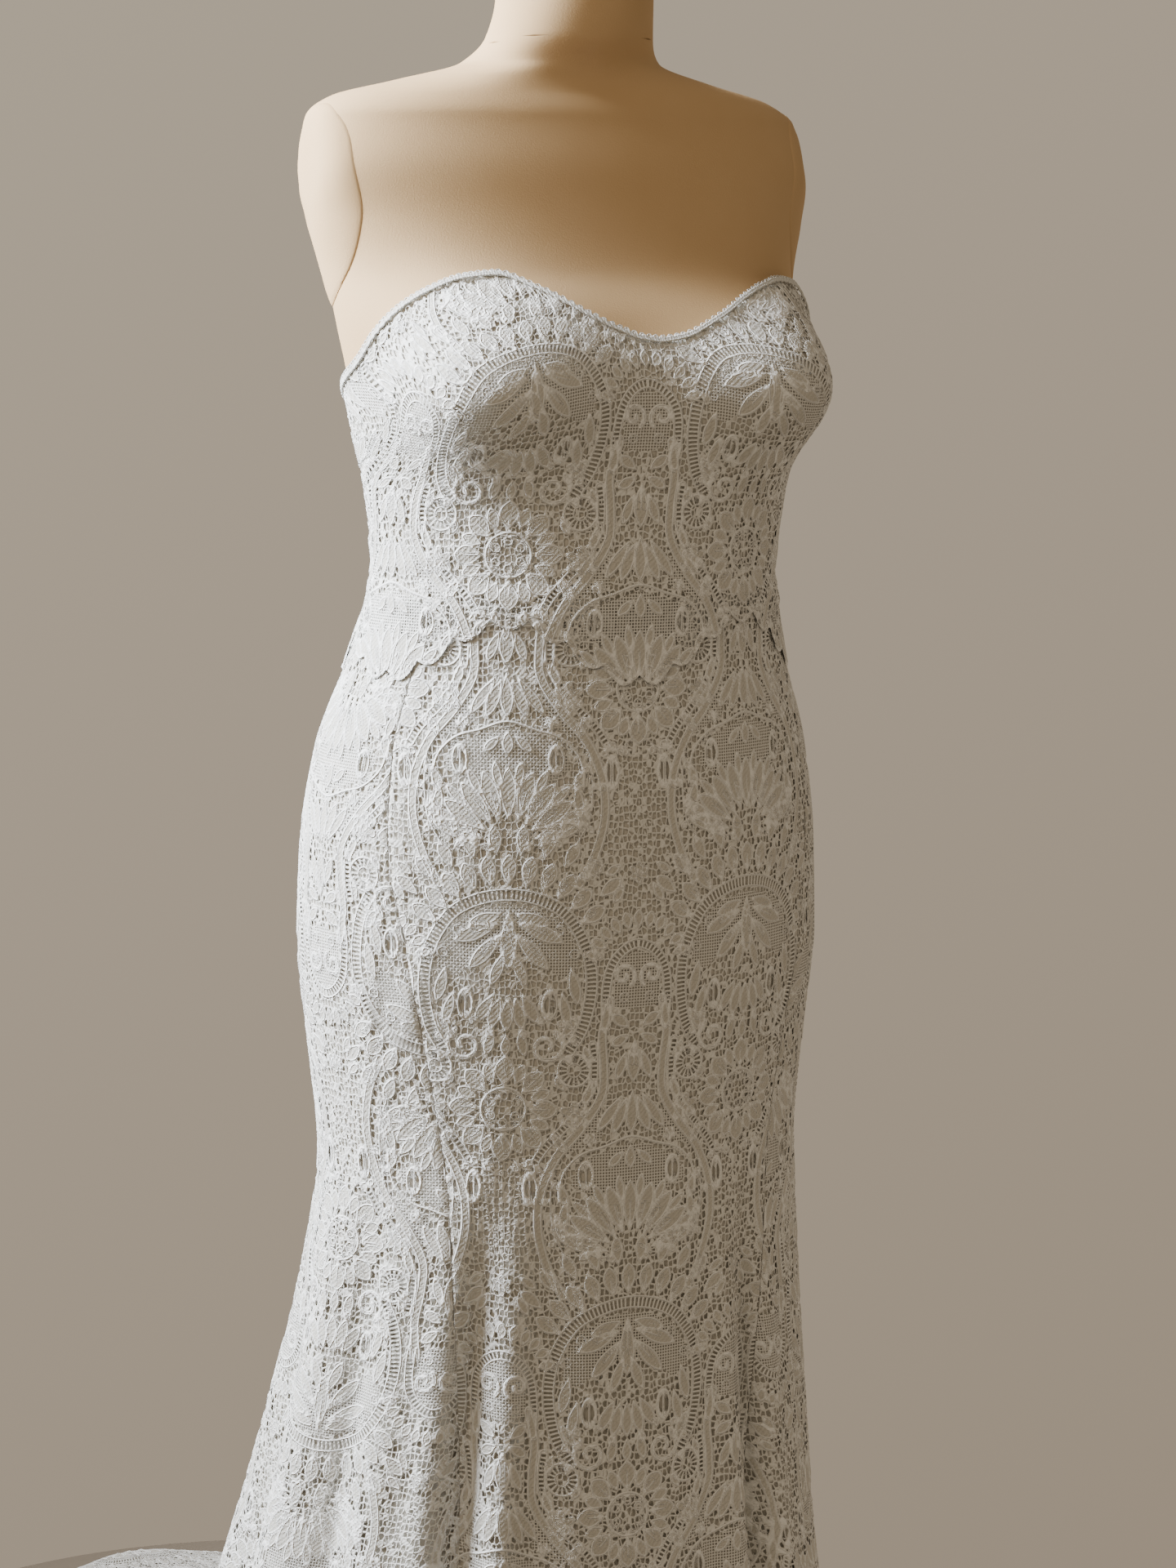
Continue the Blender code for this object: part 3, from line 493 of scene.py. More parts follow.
# Leaves: from x, from y, to x, to y, half width
LEAVES = (
    (0, 4, 0, 50, 5.6),
    (3, 8, 30, 17, 4.2),
    (4, 14, 40, 30, 5.0),
    (3, 21, 29, 50, 5.0),
    (2, 34, 13, 62, 3.8),
    (44, 46, 51, 76, 4.0),
    (38, 64, 45, 92, 3.6),
    (52, 82, 40, 100, 3.2),
    (34, 92, 42, 104, 2.6),
    (0, 96, 0, 114, 3.4),
    (9, 92, 14, 114, 3.6),
    (4, 397, 19, 386, 3.8),
    (3, 401, 19, 410, 3.6),
    (0, 404, 0, 438, 5.0),
    (5, 412, 14, 436, 3.4),
    (0, 442, 0, 476, 4.4),
    (3, 446, 15, 476, 4.0),
    (6, 444, 27, 474, 3.6),
    (0, 483, 0, 502, 3.8),
    (4, 487, 18, 500, 3.0),
    (48, 520, 52, 548, 3.4),
    (64, 132, 58, 150, 3.2),
    (44, 140, 36, 128, 2.8),
    (56, 104, 62, 122, 2.8),
    (34, 170, 46, 184, 3.2),
    (12, 276, 26, 286, 3.0),
    (10, 290, 20, 306, 3.0),
    (40, 206, 48, 226, 3.6),
    (38, 228, 46, 252, 3.4),
)
# Fans: x, y, first and last turn, count, from radius, to radius, half width
FANS = (
    (0, 50, 0, 30, 3, 18, 46, 4.2),
    (0, 153, 0, 180, 5, 17, 40, 6.8),
    (0, 153, 22.5, 157.5, 4, 19, 37, 4.0),
    (0, 48, 122, 180, 6, 59, 83, 5.4),
    (0, 48, 128, 174, 5, 81, 104, 4.4),
    (0, 352, 106, 180, 6, 27, 42, 3.4),
    (0, 566, 106, 180, 5, 16, 57, 5.4),
    (0, 566, 115, 171, 4, 38, 62, 3.0),
    (29, 106, 60, 240, 5, 15, 23, 2.6),
)
# Wheels: x, y, radius, spokes
WHEELS = ((50, 124, 12.0, 16),)
# Rings: x, y, radius
RINGS = (
    (0, 143, 3.0),
    (8.7, 148, 3.0),
    (8.7, 158, 3.0),
    (0, 163, 3.0),
    (36, 21, 3.4),
    (47, 38, 3.4),
    (10, 374, 3.4),
)
ROUNDEL = (0, 153, 16.0)
# Flowers: x, y, radius, petals
FLOWERS = ((51, 158, 12.0, 6), (0, 284, 9.0, 6), (64, 176, 6.0, 5))
# Scrolls: x, y, from radius, to radius, turns, start
SCROLLS = ((29, 106, 3, 13, 1.25, 40), (11, 358, 2, 9.5, 1.2, 250))
BEAD_LINES = (
    ((0, 194), (0, 230), (0, 270)),
    ((6.5, 194), (5.5, 230), (3.2, 268)),
    ((13, 196), (10.5, 230), (6.4, 266)),
    ((77, 530), (78, 548), (71, 576), (58, 600)),
    ((16, 440), (28, 468), (46, 490)),
)
BEAD_PITCH, BEAD_RADIUS = 4.6, 1.35
# Gaps cut through: across, down, width, height, in metres
LACE_GAPS = ((0.030, 0.075, 0.009, 0.017), (0.020, 0.212, 0.008, 0.018), (0.034, 0.505, 0.009, 0.016))
chart_x = np.arange(0, UNIT_WIDTH + CHART_STEP / 2, CHART_STEP)
chart_y = np.arange(UNIT_TOP, UNIT_END + CHART_STEP / 2, CHART_STEP)
LAYERS = ("cord_edge", "cord_side", "leaf", "bars", "run", "fine", "gap")
unit = {layer: np.full((len(chart_y), len(chart_x)), FAR) for layer in LAYERS}


def curve(*points):
    """Catmull-Rom curve through points: in each span, the cubic of the four points round it."""
    p = np.array(points, float)
    p = np.concatenate([2 * p[:1] - p[1:2], p, 2 * p[-1:] - p[-2:-1]])
    t = np.linspace(0, 1, CURVE_STEPS, endpoint=False)[:, None]
    spans = []
    for a, b, c, d in zip(p[:-3], p[1:-2], p[2:-1], p[3:]):
        spans.append(b + 0.5 * t * (c - a + t * (2 * a - 5 * b + 4 * c - d + t * (3 * b - 3 * c + d - a))))
    return np.concatenate(spans + [p[-2:-1]])


def window_of(low, high):
    """The chart's rows and columns within reach of a box, and the cells' places there."""
    columns = slice(*np.searchsorted(chart_x, (low[0] - CHART_REACH, high[0] + CHART_REACH)))
    rows = slice(*np.searchsorted(chart_y, (low[1] - CHART_REACH, high[1] + CHART_REACH)))
    return (rows, columns), chart_x[None, columns], chart_y[rows, None]


def near_path(path):
    """Near a path: each cell's least distance to its lines, side, run along it, and whether it is held."""
    window, x, y = window_of(path.min(0), path.max(0))
    away = np.full((y.size, x.size), FAR)
    side, run, held = np.ones_like(away), np.zeros_like(away), np.zeros(away.shape, bool)
    start = 0.0
    for (ax, ay), (bx, by) in zip(path[:-1], path[1:]):
        ux, uy = bx - ax, by - ay
        length = math.hypot(ux, uy)
        share = np.clip(((x - ax) * ux + (y - ay) * uy) / length**2, 0, 1)
        reach = np.hypot(x - ax - share * ux, y - ay - share * uy)
        closer = reach < away
        away = np.where(closer, reach, away)
        side = np.where(closer, np.where((x - ax) * uy > (y - ay) * ux, 1, -1), side)
        run = np.where(closer, start + share * length, run)
        held ^= ((ay > y) != (by > y)) & (x < ax + (y - ay) / (uy or 1) * ux)
        start += length
    return window, away, side, run, held


def lay_cord(window, centre, half):
    """Lays a cord where it is nearest, from the signed distance to its middle line and its half width."""
    edge = np.abs(centre) - half
    nearer = edge < unit["cord_edge"][window]
    unit["cord_edge"][window] = np.where(nearer, edge, unit["cord_edge"][window])
    unit["cord_side"][window] = np.where(nearer, centre / half, unit["cord_side"][window])


def lay_area(layer, window, edge):
    """Adds an area to a layer: each cell keeps its least signed distance to an edge."""
    unit[layer][window] = np.minimum(unit[layer][window], edge)


def lay_bars(window, edge, run):
    """Lays an area of bars, which stand a pitch apart along the run."""
    nearer = edge < unit["bars"][window]
    unit["bars"][window] = np.where(nearer, edge, unit["bars"][window])
    unit["run"][window] = np.where(nearer, run, unit["run"][window])


def draw_cord(path, half=CORD_HALF):
    """A cord along a path: the distance to the path, signed by the side of it."""
    window, away, side, _, _ = near_path(path)
    lay_cord(window, away * side, half)


def draw_shape(outline):
    """A dense leaf with a cord just inside its closed outline."""
    window, away, _, _, held = near_path(np.concatenate([outline, outline[:1]]))
    edge = np.where(held, -away, away)
    lay_area("leaf", window, edge)
    lay_cord(window, edge + OUTLINE_HALF, OUTLINE_HALF)


LEAF_POINTS, LEAF_SPARE, VEIN_FROM = 15, 0.7, 4.5


def draw_leaf(from_x, from_y, to_x, to_y, half_width):
    """A pointed leaf: its half width follows a sine along the axis, fullest past the middle, with a vein."""
    u = np.linspace(0, 1, LEAF_POINTS)
    start, way = np.array((from_x, from_y)), np.array((to_x - from_x, to_y - from_y))
    aside = np.array((-way[1], way[0])) / np.hypot(*way)
    width = (half_width + LEAF_SPARE) * np.sin(math.pi * u**1.25) ** 0.8
    axis = start + u[:, None] * way
    draw_shape(np.concatenate([axis + width[:, None] * aside, (axis - width[:, None] * aside)[-2:0:-1]]))
    if half_width > VEIN_FROM:
        draw_cord(axis[1:9], FINE_CORD_HALF)


def draw_fan(x, y, first, last, count, from_radius, to_radius, half_width):
    """Leaves out from a point at even turns, from 0 straight down to 180 straight up."""
    for turn in np.radians(np.linspace(first, last, count)):
        way = np.array((math.sin(turn), math.cos(turn)))
        tips = np.concatenate([(x, y) + from_radius * way, (x, y) + to_radius * way])
        draw_leaf(*tips, half_width)


def draw_ladder(path, half):
    """Two rails with bars between them."""
    window, away, _, run, _ = near_path(path)
    lay_bars(window, away - half, run)
    lay_cord(window, away - half, LADDER_RAIL)


def draw_ribbon(path, half):
    """A dense flat band with a fine cord inside each edge."""
    window, away, _, _, _ = near_path(path)
    lay_area("leaf", window, away - half)
    lay_cord(window, away - half + OUTLINE_HALF, OUTLINE_HALF)


def draw_ring(x, y, radius, half):
    """A cord on a circle: the distance from the middle, less the radius."""
    window, across, down = window_of((x - radius, y - radius), (x + radius, y + radius))
    lay_cord(window, np.hypot(across - x, down - y) - radius, half)


HUB_SHARE = 0.42


def draw_wheel(x, y, radius, spokes):
    """A ring, a smaller ring and spokes between them: bars run round, so many pitches to a turn."""
    hub = HUB_SHARE * radius
    window, across, down = window_of((x - radius, y - radius), (x + radius, y + radius))
    out = np.hypot(across - x, down - y)
    turn = np.arctan2(across - x, down - y) / math.tau + 0.5
    lay_bars(window, np.maximum(hub - out, out - radius), turn * spokes * BAR_PITCH)
    draw_ring(x, y, radius, CORD_HALF)
    draw_ring(x, y, hub, FINE_CORD_HALF)


def draw_flower(x, y, radius, petals):
    """Round petals: the outline's radius follows a cosine's size round the flower. A ring is its heart."""
    window, across, down = window_of((x - radius, y - radius), (x + radius, y + radius))
    out = np.hypot(across - x, down - y)
    petal = np.abs(np.cos(petals / 2 * np.arctan2(across - x, down - y)))
    edge = 0.8 * (out - radius * (0.45 + 0.55 * petal))
    lay_area("leaf", window, edge)
    lay_cord(window, edge + OUTLINE_HALF, OUTLINE_HALF)
    draw_ring(x, y, 0.2 * radius, FINE_CORD_HALF)


SCROLL_POINTS, SCROLL_HALF = 40, 1.9


def draw_scroll(x, y, from_radius, to_radius, turns, start):
    """A narrow ribbon on a spiral whose radius grows evenly with its turn."""
    u = np.linspace(0, 1, SCROLL_POINTS)
    turn = math.radians(start) + turns * math.tau * u
    radius = from_radius + (to_radius - from_radius) * u
    path = np.stack([x + radius * np.sin(turn), y + radius * np.cos(turn)], -1)
    draw_ribbon(path, SCROLL_HALF)


def draw_beads(path):
    """Round beads a pitch apart along a path."""
    run = np.concatenate([[0], np.cumsum(np.hypot(*np.diff(path, axis=0).T))])
    for at in np.arange(BEAD_PITCH / 2, run[-1], BEAD_PITCH):
        draw_ring(np.interp(at, run, path[:, 0]), np.interp(at, run, path[:, 1]), 0.0, BEAD_RADIUS)


VINE_LEAF, VINE_LEAF_HALF, VINE_LEAF_STEP = 8.5, 2.3, 5


def draw_vine(path):
    """A cord with small leaves out to either side of it in turn."""
    draw_cord(path, FINE_CORD_HALF)
    for k in range(3, len(path) - 3, VINE_LEAF_STEP):
        way = path[k + 1] - path[k - 1]
        way /= np.hypot(*way)
        side = 1 if k % 2 else -1
        tip = path[k] + VINE_LEAF * (0.55 * way + side * 0.83 * np.array((-way[1], way[0])))
        draw_leaf(*path[k], *tip, VINE_LEAF_HALF)


for ground in FINE_GROUNDS:
    window, away, _, _, held = near_path(np.array(ground + ground[:1], float))
    lay_area("fine", window, np.where(held, -away, away))
for vine in VINES:
    draw_vine(curve(*vine))
for fan in FANS:
    draw_fan(*fan)
for leaf in LEAVES:
    draw_leaf(*leaf)
for flower in FLOWERS:
    draw_flower(*flower)
for wheel in WHEELS:
    draw_wheel(*wheel)
for ring in RINGS:
    draw_ring(*ring, FINE_CORD_HALF)
for scroll in SCROLLS:
    draw_scroll(*scroll)
for line in BEAD_LINES:
    draw_beads(curve(*line))
draw_ring(*ROUNDEL, CORD_HALF)
draw_ladder(curve(*ARCH), ARCH_HALF)
draw_ladder(curve(*SMALL_ARCH), SMALL_ARCH_HALF)
draw_ladder(curve(*OGEE_LADDER), OGEE_LADDER_HALF)
draw_ribbon(curve(*OGEE), OGEE_HALF)
draw_cord(curve(*CANOPY))
for gap_across, gap_down, gap_width, gap_height in LACE_GAPS:
    x, y, wide, tall = (value / MM for value in (gap_across, gap_down, gap_width / 2, gap_height / 2))
    window, across, down = window_of((x - wide, y - tall), (x + wide, y + tall))
    edge = (np.hypot((across - x) / wide, (down - y) / tall) - 1) * wide
    lay_area("gap", window, np.maximum(edge, FINE_CORD_HALF - np.abs(across - x)))
    lay_cord(window, edge - OUTLINE_HALF, OUTLINE_HALF)
    lay_cord(window, np.maximum(across - x, edge), FINE_CORD_HALF)


def join_units():
    """One whole repeat: the unit, its copy a repeat above, and the next column's half a repeat off."""
    rows = round(REPEAT / CHART_STEP)
    tile = {layer: np.full((rows, len(chart_x)), FAR) for layer in LAYERS}
    for flip, shift in ((False, 0), (False, -2 * HALF_DROP), (True, -HALF_DROP), (True, HALF_DROP)):
        first = round((shift - UNIT_TOP) / CHART_STEP)
        taken = np.arange(rows) + first
        inside = (taken >= 0) & (taken < len(chart_y))
        copy = {layer: values[taken[inside]][:, ::-1 if flip else 1] for layer, values in unit.items()}
        for chosen, carried in (("cord_edge", "cord_side"), ("bars", "run")):
            nearer = copy[chosen] < tile[chosen][inside]
            for layer in (carried, chosen):
                tile[layer][inside] = np.where(nearer, copy[layer], tile[layer][inside])
        for layer in ("leaf", "fine", "gap"):
            tile[layer][inside] = np.minimum(tile[layer][inside], copy[layer])
    return tile


CORD_RISE, LEAF_RISE, BAR_RISE = 0.9, 0.5, 0.3
tile = join_units()
relief = CORD_RISE * smooth_step(0.25 - tile["cord_edge"])
relief = np.maximum(relief, LEAF_RISE * smooth_step(-tile["leaf"] / 1.5))
relief = np.maximum(relief, BAR_RISE * smooth_step(-tile["bars"]))
for _ in range(2):
    relief = (relief + np.roll(relief, 1, 0) + np.roll(relief, -1, 0)) / 3
tile["relief"] = relief


def chart_at(across, down, crown, turned=False):
    """The chart's values at places in the cloth: each is read between the four cells round it."""
    sign = -1 if turned else 1
    x = np.abs((across / MM + UNIT_WIDTH) % (2 * UNIT_WIDTH) - UNIT_WIDTH) / CHART_STEP
    y = (sign * (down - crown) / MM - HALF_DROP) % REPEAT / CHART_STEP
    left = np.clip(x.astype(int), 0, len(chart_x) - 2)
    top = y.astype(int) % len(relief)
    low = (top + 1) % len(relief)
    right_share, low_share = x - left, y - y.astype(int)
    found = {}
    for layer, values in tile.items():
        upper = values[top, left] * (1 - right_share) + values[top, left + 1] * right_share
        lower = values[low, left] * (1 - right_share) + values[low, left + 1] * right_share
        found[layer] = upper * (1 - low_share) + lower * low_share
    return found


CELL_WIDE, CELL_TALL, FINE_PITCH = 3.7 * MM, 5.2 * MM, 2.2 * MM
STITCH_SCALE = 0.5 / (1.0 * MM) / math.pi


def guipure():
    """Cotton lace, embroidered, washed and pressed: matt, with round cords over leaves and open grounds, and
    painted shade in its colour.

    Grounds are drawn at their real size: cells of about 3.7 by 5.2 mm in the open one and 2.2 mm in the fine
    one. The stitches are drawn 2.8 mm apart to show. Bands on the chart's edges are in millimetres.
    """
    material, tree, shader = start_material("cotton_guipure", "#ECEDEB", 0.82)
    shader.inputs["Sheen Weight"].default_value = 0.15
    shader.inputs["Sheen Roughness"].default_value = 0.6

    def band(value, full, empty):
        """1 at full, 0 at empty, and even between them."""
        inputs = {"Value": value, "From Min": empty, "From Max": full}
        return add(tree, "MapRange", inputs, clamp=True).outputs[0]

    def calculate(operation, first, second=0.0):
        return add(tree, "Math", {0: first, 1: second}, operation=operation).outputs[0]

    def layer(name):
        return add(tree, "Attribute", attribute_name=name).outputs["Fac"]

    def blend(share, first, second):
        node = add(tree, "Mix", {0: share, 6: first, 7: second}, data_type="RGBA")
        return node.outputs[2]

    cloth = add(tree, "UVMap", uv_map="cloth").outputs[0]
    axes = add(tree, "SeparateXYZ", {0: cloth})
    side = calculate("ABSOLUTE", layer("cord_side"))
    near = band(layer("cord_edge"), 1.3, 1.9)
    cord = calculate("MULTIPLY", band(side, 0.85, 1.2), near)
    crown = calculate("MULTIPLY", band(side, 0.0, 1.1), near)
    leaf = band(layer("leaf"), -0.1, 0.35)
    cell_scale = (1 / CELL_WIDE, 1 / CELL_TALL, 1)
    cells = add(tree, "Mapping", {"Vector": cloth, "Scale": cell_scale}, vector_type="POINT")
    cell = {"Vector": cells.outputs[0], "Scale": 1.0, "Randomness": 0.55}
    open_ground = add(tree, "TexVoronoi", cell, feature="DISTANCE_TO_EDGE").outputs["Distance"]
    open_round = band(open_ground, 0.02, 0.21)
    open_ground = band(open_ground, 0.11, 0.17)
    squares = []
    for axis in ("X", "Y"):
        wave = calculate("PINGPONG", axes.outputs[axis], FINE_PITCH / 2)
        squares.append(band(wave, 0.30 * FINE_PITCH / 2, 0.52 * FINE_PITCH / 2))
    fine_ground = calculate("MAXIMUM", squares[0], squares[1])
    bars = band(calculate("PINGPONG", layer("run"), BAR_PITCH / 2), 0.62, 0.95)
    fine = band(layer("fine"), -0.2, 0.2)
    barred = band(layer("bars"), -0.1, 0.2)
    ground = add(tree, "Mix", {0: fine, 2: open_ground, 3: fine_ground}).outputs[0]
    ground = add(tree, "Mix", {0: barred, 2: ground, 3: bars}).outputs[0]
    fine_round = calculate("MULTIPLY", fine_ground, 0.8)
    rounded = add(tree, "Mix", {0: fine, 2: open_round, 3: fine_round}).outputs[0]
    rounded = add(tree, "Mix", {0: barred, 2: rounded, 3: bars}).outputs[0]
    ground = calculate("MULTIPLY", ground, band(layer("gap"), 0.2, -0.1))
    cover = calculate("MAXIMUM", calculate("MAXIMUM", cord, leaf), ground)
    cover = calculate("MULTIPLY", cover, band(layer("kept"), 0.1, -0.3))
    tree.links.new(cover, shader.inputs["Alpha"])

    satin_stitch = {"Vector": cloth, "Scale": STITCH_SCALE, "Distortion": 2.5, "Detail": 1.0}
    stitches = add(tree, "TexWave", satin_stitch, bands_direction="DIAGONAL").outputs["Fac"]
    height = calculate("MAXIMUM", crown, calculate("MULTIPLY", leaf, 0.25))
    height = calculate("MAXIMUM", height, calculate("MULTIPLY", rounded, 0.45))
    height = calculate("ADD", height, calculate("MULTIPLY", stitches, 0.14))
    bump = add(tree, "Bump", {"Height": height, "Strength": 1.0, "Distance": 1.1 * MM})
    tree.links.new(bump.outputs["Normal"], shader.inputs["Normal"])
    tint = add(tree, "TexNoise", {"Vector": cloth, "Scale": 30.0, "Detail": 2.0}).outputs["Fac"]
    # Painted shade: the thread colour holds on the cords' crowns and the middles of the ground's threads, and
    # goes grey towards the cords' edges and round the ground's holes. The grey over the leaves is partly the
    # dense stitching's own tone and partly painted shade.
    fill = blend(calculate("MULTIPLY", tint, stitches), linear("#C2C0B7"), linear("#D6D4CE"))
    thread = blend(tint, linear("#EEEFED"), linear("#F6F7F5"))
    on_ground = calculate("MULTIPLY", rounded, calculate("SUBTRACT", 1.0, leaf))
    painted_light_share = calculate("MAXIMUM", crown, calculate("MULTIPLY", on_ground, 0.36))
    tree.links.new(blend(band(painted_light_share, 0.5, 0.0), fill, thread), shader.inputs["Base Color"])
    return material


# Skirt lace
# The lace of the skirt is cut in the lining's five panels and sewn at the same seams, from under the
# bodice's lace down to the hem. The side panels are cut upside down. It hangs a little free in the flare.
LAYER_GAP, NET_LEVEL = 0.45 * MM, 0.5 * MM
FREE_HEIGHTS = np.array((0.0, 0.06, 0.20, 0.36, 0.50, 0.63))
FREE_LACE = np.array((0.0, 0.5, 1.0, 1.3, 1.0, 0)) * MM
FRONT_CROWN, SIDE_CROWN = 0.170, 0.280
LEVEL_HEIGHT = 1.000
LACE_HEM_SETBACK = 2.0 * MM
SEAM_DIP = 0.9 * MM
EDGE_CORD, HOLE_RIM = 1.2, 0.3
lace = guipure()


def lay_lace(base, normals, middle, level_row, crown, turned, hem_row, offset):
    """Lace over a grid of the lining's inside: moved out along the normals by its gaps and its relief."""
    free = along(base[..., 2], FREE_HEIGHTS, FREE_LACE)
    free = np.where(np.arange(len(base))[:, None] >= hem_row, 0, free)
    net = base + (LINING_THICK + LAYER_GAP + NET_LEVEL + offset + free)[..., None] * normals
    across, down = run_lengths(net, 1), run_lengths(net, 0)
    across = across - across[:, middle : middle + 1]
    down = down - down[level_row]
    chart = chart_at(across, down, crown, turned)
    seam_away = np.minimum(np.arange(net.shape[1]), np.arange(net.shape[1])[::-1])[None, :]
    dip = SEAM_DIP * np.clip(1 - seam_away / 2, 0, 1)
    net = net + (chart["relief"] * MM - dip)[..., None] * normals
    return net, across, down, chart


def cut_holes(faces, gap):
    """Leaves out the faces that lie wholly inside a gap, a rim's width from its edge."""
    return faces[(gap.ravel()[faces] > -HOLE_RIM).any(1)]


def layered_lace(name, node, net, faces, cloth, chart):
    """A lace piece: its mesh with the chart's values, riding, and replacing its node."""
    layers = {layer: values.ravel() for layer, values in chart.items() if layer != "relief"}
    piece = make_piece(name, net.reshape(-1, 3), cut_holes(faces, chart["gap"]), lace, cloth, layers)
    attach(piece, "root")
    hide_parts(node)
    return piece


def edge_cord(chart, away):
    """Lays a cord along an edge of the lace in sampled chart values, from the millimetres to the edge."""
    centre = away - EDGE_CORD
    nearer = np.abs(centre) - CORD_HALF < chart["cord_edge"]
    chart["cord_edge"] = np.where(nearer, np.abs(centre) - CORD_HALF, chart["cord_edge"])
    chart["cord_side"] = np.where(nearer, centre / CORD_HALF, chart["cord_side"])


for panel, (base, normals) in panels.items():
    first = int(np.argmax(base[:, 0, 2] < LACE_TOP + 1e-6))
    base, normals = base[first:], normals[first:]
    fine_rows, flare_rows, floor_rows = PANEL_GRIDS[panel][1:]
    floor_row = fine_rows + flare_rows - 2
    level_row = int(np.argmin(np.abs(base[:fine_rows, 0, 2] - LEVEL_HEIGHT)))
    columns = base.shape[1]
    middle = {"back_right": 0, "back_left": columns - 1}.get(panel, columns // 2)
    upside_down = panel.startswith("side")
    crown = SIDE_CROWN if upside_down else FRONT_CROWN
    base = base.copy()
    way = base[-2] - base[-1]
    base[-1] += LACE_HEM_SETBACK * way / np.linalg.norm(way, axis=-1, keepdims=True)
    net, across, down, chart = lay_lace(base, normals, middle, level_row, crown, upside_down, floor_row, 0)
    edge_cord(chart, (down[-1] - down) / MM)
    chart["kept"] = np.full_like(down, FAR)
    cloth = np.stack([across, down], -1).reshape(-1, 2)
    net = trim_seams(net)
    faces = grid_faces(*net.shape[:2])
    layered_lace("corded_skirt_" + panel, "lace_skirt_" + panel, net, faces, cloth, chart)

# Bodice lace
# The bodice's lace is one front, round to the side-back seams, and two backs. Its lower edge is cut round
# the motifs and stitched down over the skirt's lace. It is eased in under the edging, and crinkles there.
BODICE_CROWN = -0.175
WAIST_HEIGHT = 1.055
BODICE_END = 0.972
OVERLAP_OFF, OVERLAP_HEIGHT, OVERLAP_REACH = 1.5 * MM, 1.060, 0.015
CUT_LEVEL, CUT_SWING, CUT_SCALLOP, SCALLOP_PITCH, CUT_RIM = 43.0, 21.0, 9.0, 27.0, 3.0
CRINKLE_DEPTH, CRINKLE_PITCH, CRINKLE_REACH = 0.55 * MM, 0.0072, 0.042
WANDER_LONG, WANDER_SHORT, WANDER_DOWN = 0.031, 0.0123, 0.020
# Bodice grids: columns, rows above and below the bust line
BODICE_GRIDS = {"bodice_front": (300, 66, 78), "back_right": (112, 28, 78), "back_left": (112, 28, 78)}
for panel, (columns, upper_rows, lower_rows) in BODICE_GRIDS.items():
    lower = np.linspace(0, UPPER - BODICE_END, lower_rows)
    rows = np.concatenate([np.linspace(-1, 0, upper_rows)[:-1], lower])
    base, normals = cloth_surface(panel, columns, rows)
    level_row = int(np.argmin(np.abs(UPPER - rows - WAIST_HEIGHT)))
    middle = {"back_right": 0, "back_left": columns - 1}.get(panel, columns // 2)
    overlap = OVERLAP_OFF * smooth_step((OVERLAP_HEIGHT - base[..., 2]) / OVERLAP_REACH)
    from_top = run_lengths(base, 0)
    run = run_lengths(base, 1)
    wander = 1.7 * np.sin(run / WANDER_LONG) + 1.1 * np.sin(run / WANDER_SHORT + 2) + from_top / WANDER_DOWN
    crinkle = np.sin(math.tau * run / CRINKLE_PITCH + wander) * smooth_step(1 - from_top / CRINKLE_REACH)
    offset = overlap + CRINKLE_DEPTH * crinkle
    net, across, down, chart = lay_lace(
        base, normals, middle, level_row, BODICE_CROWN, False, len(base), offset
    )
    across_mm = across / MM
    cut_line = CUT_LEVEL + CUT_SWING * np.cos(math.tau * across_mm / (2 * UNIT_WIDTH))
    cut_line = cut_line + CUT_SCALLOP * np.abs(np.sin(math.pi * across_mm / SCALLOP_PITCH))
    chart["kept"] = cut_line - down / MM
    edge_cord(chart, chart["kept"])
    cloth = np.stack([across, down], -1).reshape(-1, 2)
    net = trim_seams(net)
    faces = grid_faces(*net.shape[:2])
    faces = faces[(chart["kept"].ravel()[faces] > -CUT_RIM).any(1)]
    node = "lace_bodice_" + panel.replace("bodice_", "")
    layered_lace("corded_" + node.replace("lace_", ""), node, net, faces, cloth, chart)

# Neck edging
# A narrow cotton braid with small loops is stitched round the top edge, over the lace. It is two twisted
# cords side by side, about 4.6 mm deep and 1.8 mm thick, with a loop every 4.5 mm along its upper edge.
EDGE_OFF, EDGE_DEEP, EDGE_THICK = 3.6 * MM, 4.6 * MM, 1.8 * MM
EDGE_TURNS, EDGE_SIDES, TWIST_PITCH, TWIST_RISE = 1500, 16, 0.0062, 0.34
PICOT_PITCH, PICOT_RADIUS, PICOT_CORD = 0.0045, 1.7 * MM, 0.5 * MM
PICOT_STEPS, PICOT_SIDES, PICOT_SINK, PICOT_PAST = 8, 5, 0.4 * MM, 0.15
WAIST_DEPTH, WAIST_REACH = 0.72, 0.3


def cotton_braid():
    """Cotton cord, spun and braided: matt, with a fine uneven twist drawn about 2 mm apart to show."""
    material, tree, shader = start_material("cotton_braid", "#EDEEEC", 0.85)
    shader.inputs["Sheen Weight"].default_value = 0.15
    place = add(tree, "TexCoord").outputs["Object"]
    wave = {"Vector": place, "Scale": 160.0, "Distortion": 6.0, "Detail": 2.0}
    twist = add(tree, "TexWave", wave).outputs["Fac"]
    bump = add(tree, "Bump", {"Height": twist, "Strength": 0.5, "Distance": 0.3 * MM})
    tree.links.new(bump.outputs["Normal"], shader.inputs["Normal"])
    # Painted shade: the colour is greyer than the cotton's white, and darkest in the twist's grooves.
    tint = add(tree, "Mix", {0: twist, 6: linear("#C4C4BF"), 7: linear("#DEDFDC")}, data_type="RGBA")
    tree.links.new(tint.outputs[2], shader.inputs["Base Color"])
    return material


def edge_path(count):
    """Places along the middle of the braid, with the ways out of it and up along the cloth."""
    rows = np.array([-1.0, -0.95, -0.9])
    base, normals = cloth_surface("whole", count, rows)
    up = base[0] - base[1]
    up /= np.linalg.norm(up, axis=-1, keepdims=True)
    return base[0] + EDGE_OFF * normals[0] - EDGE_DEEP / 2 * up, normals[0], up


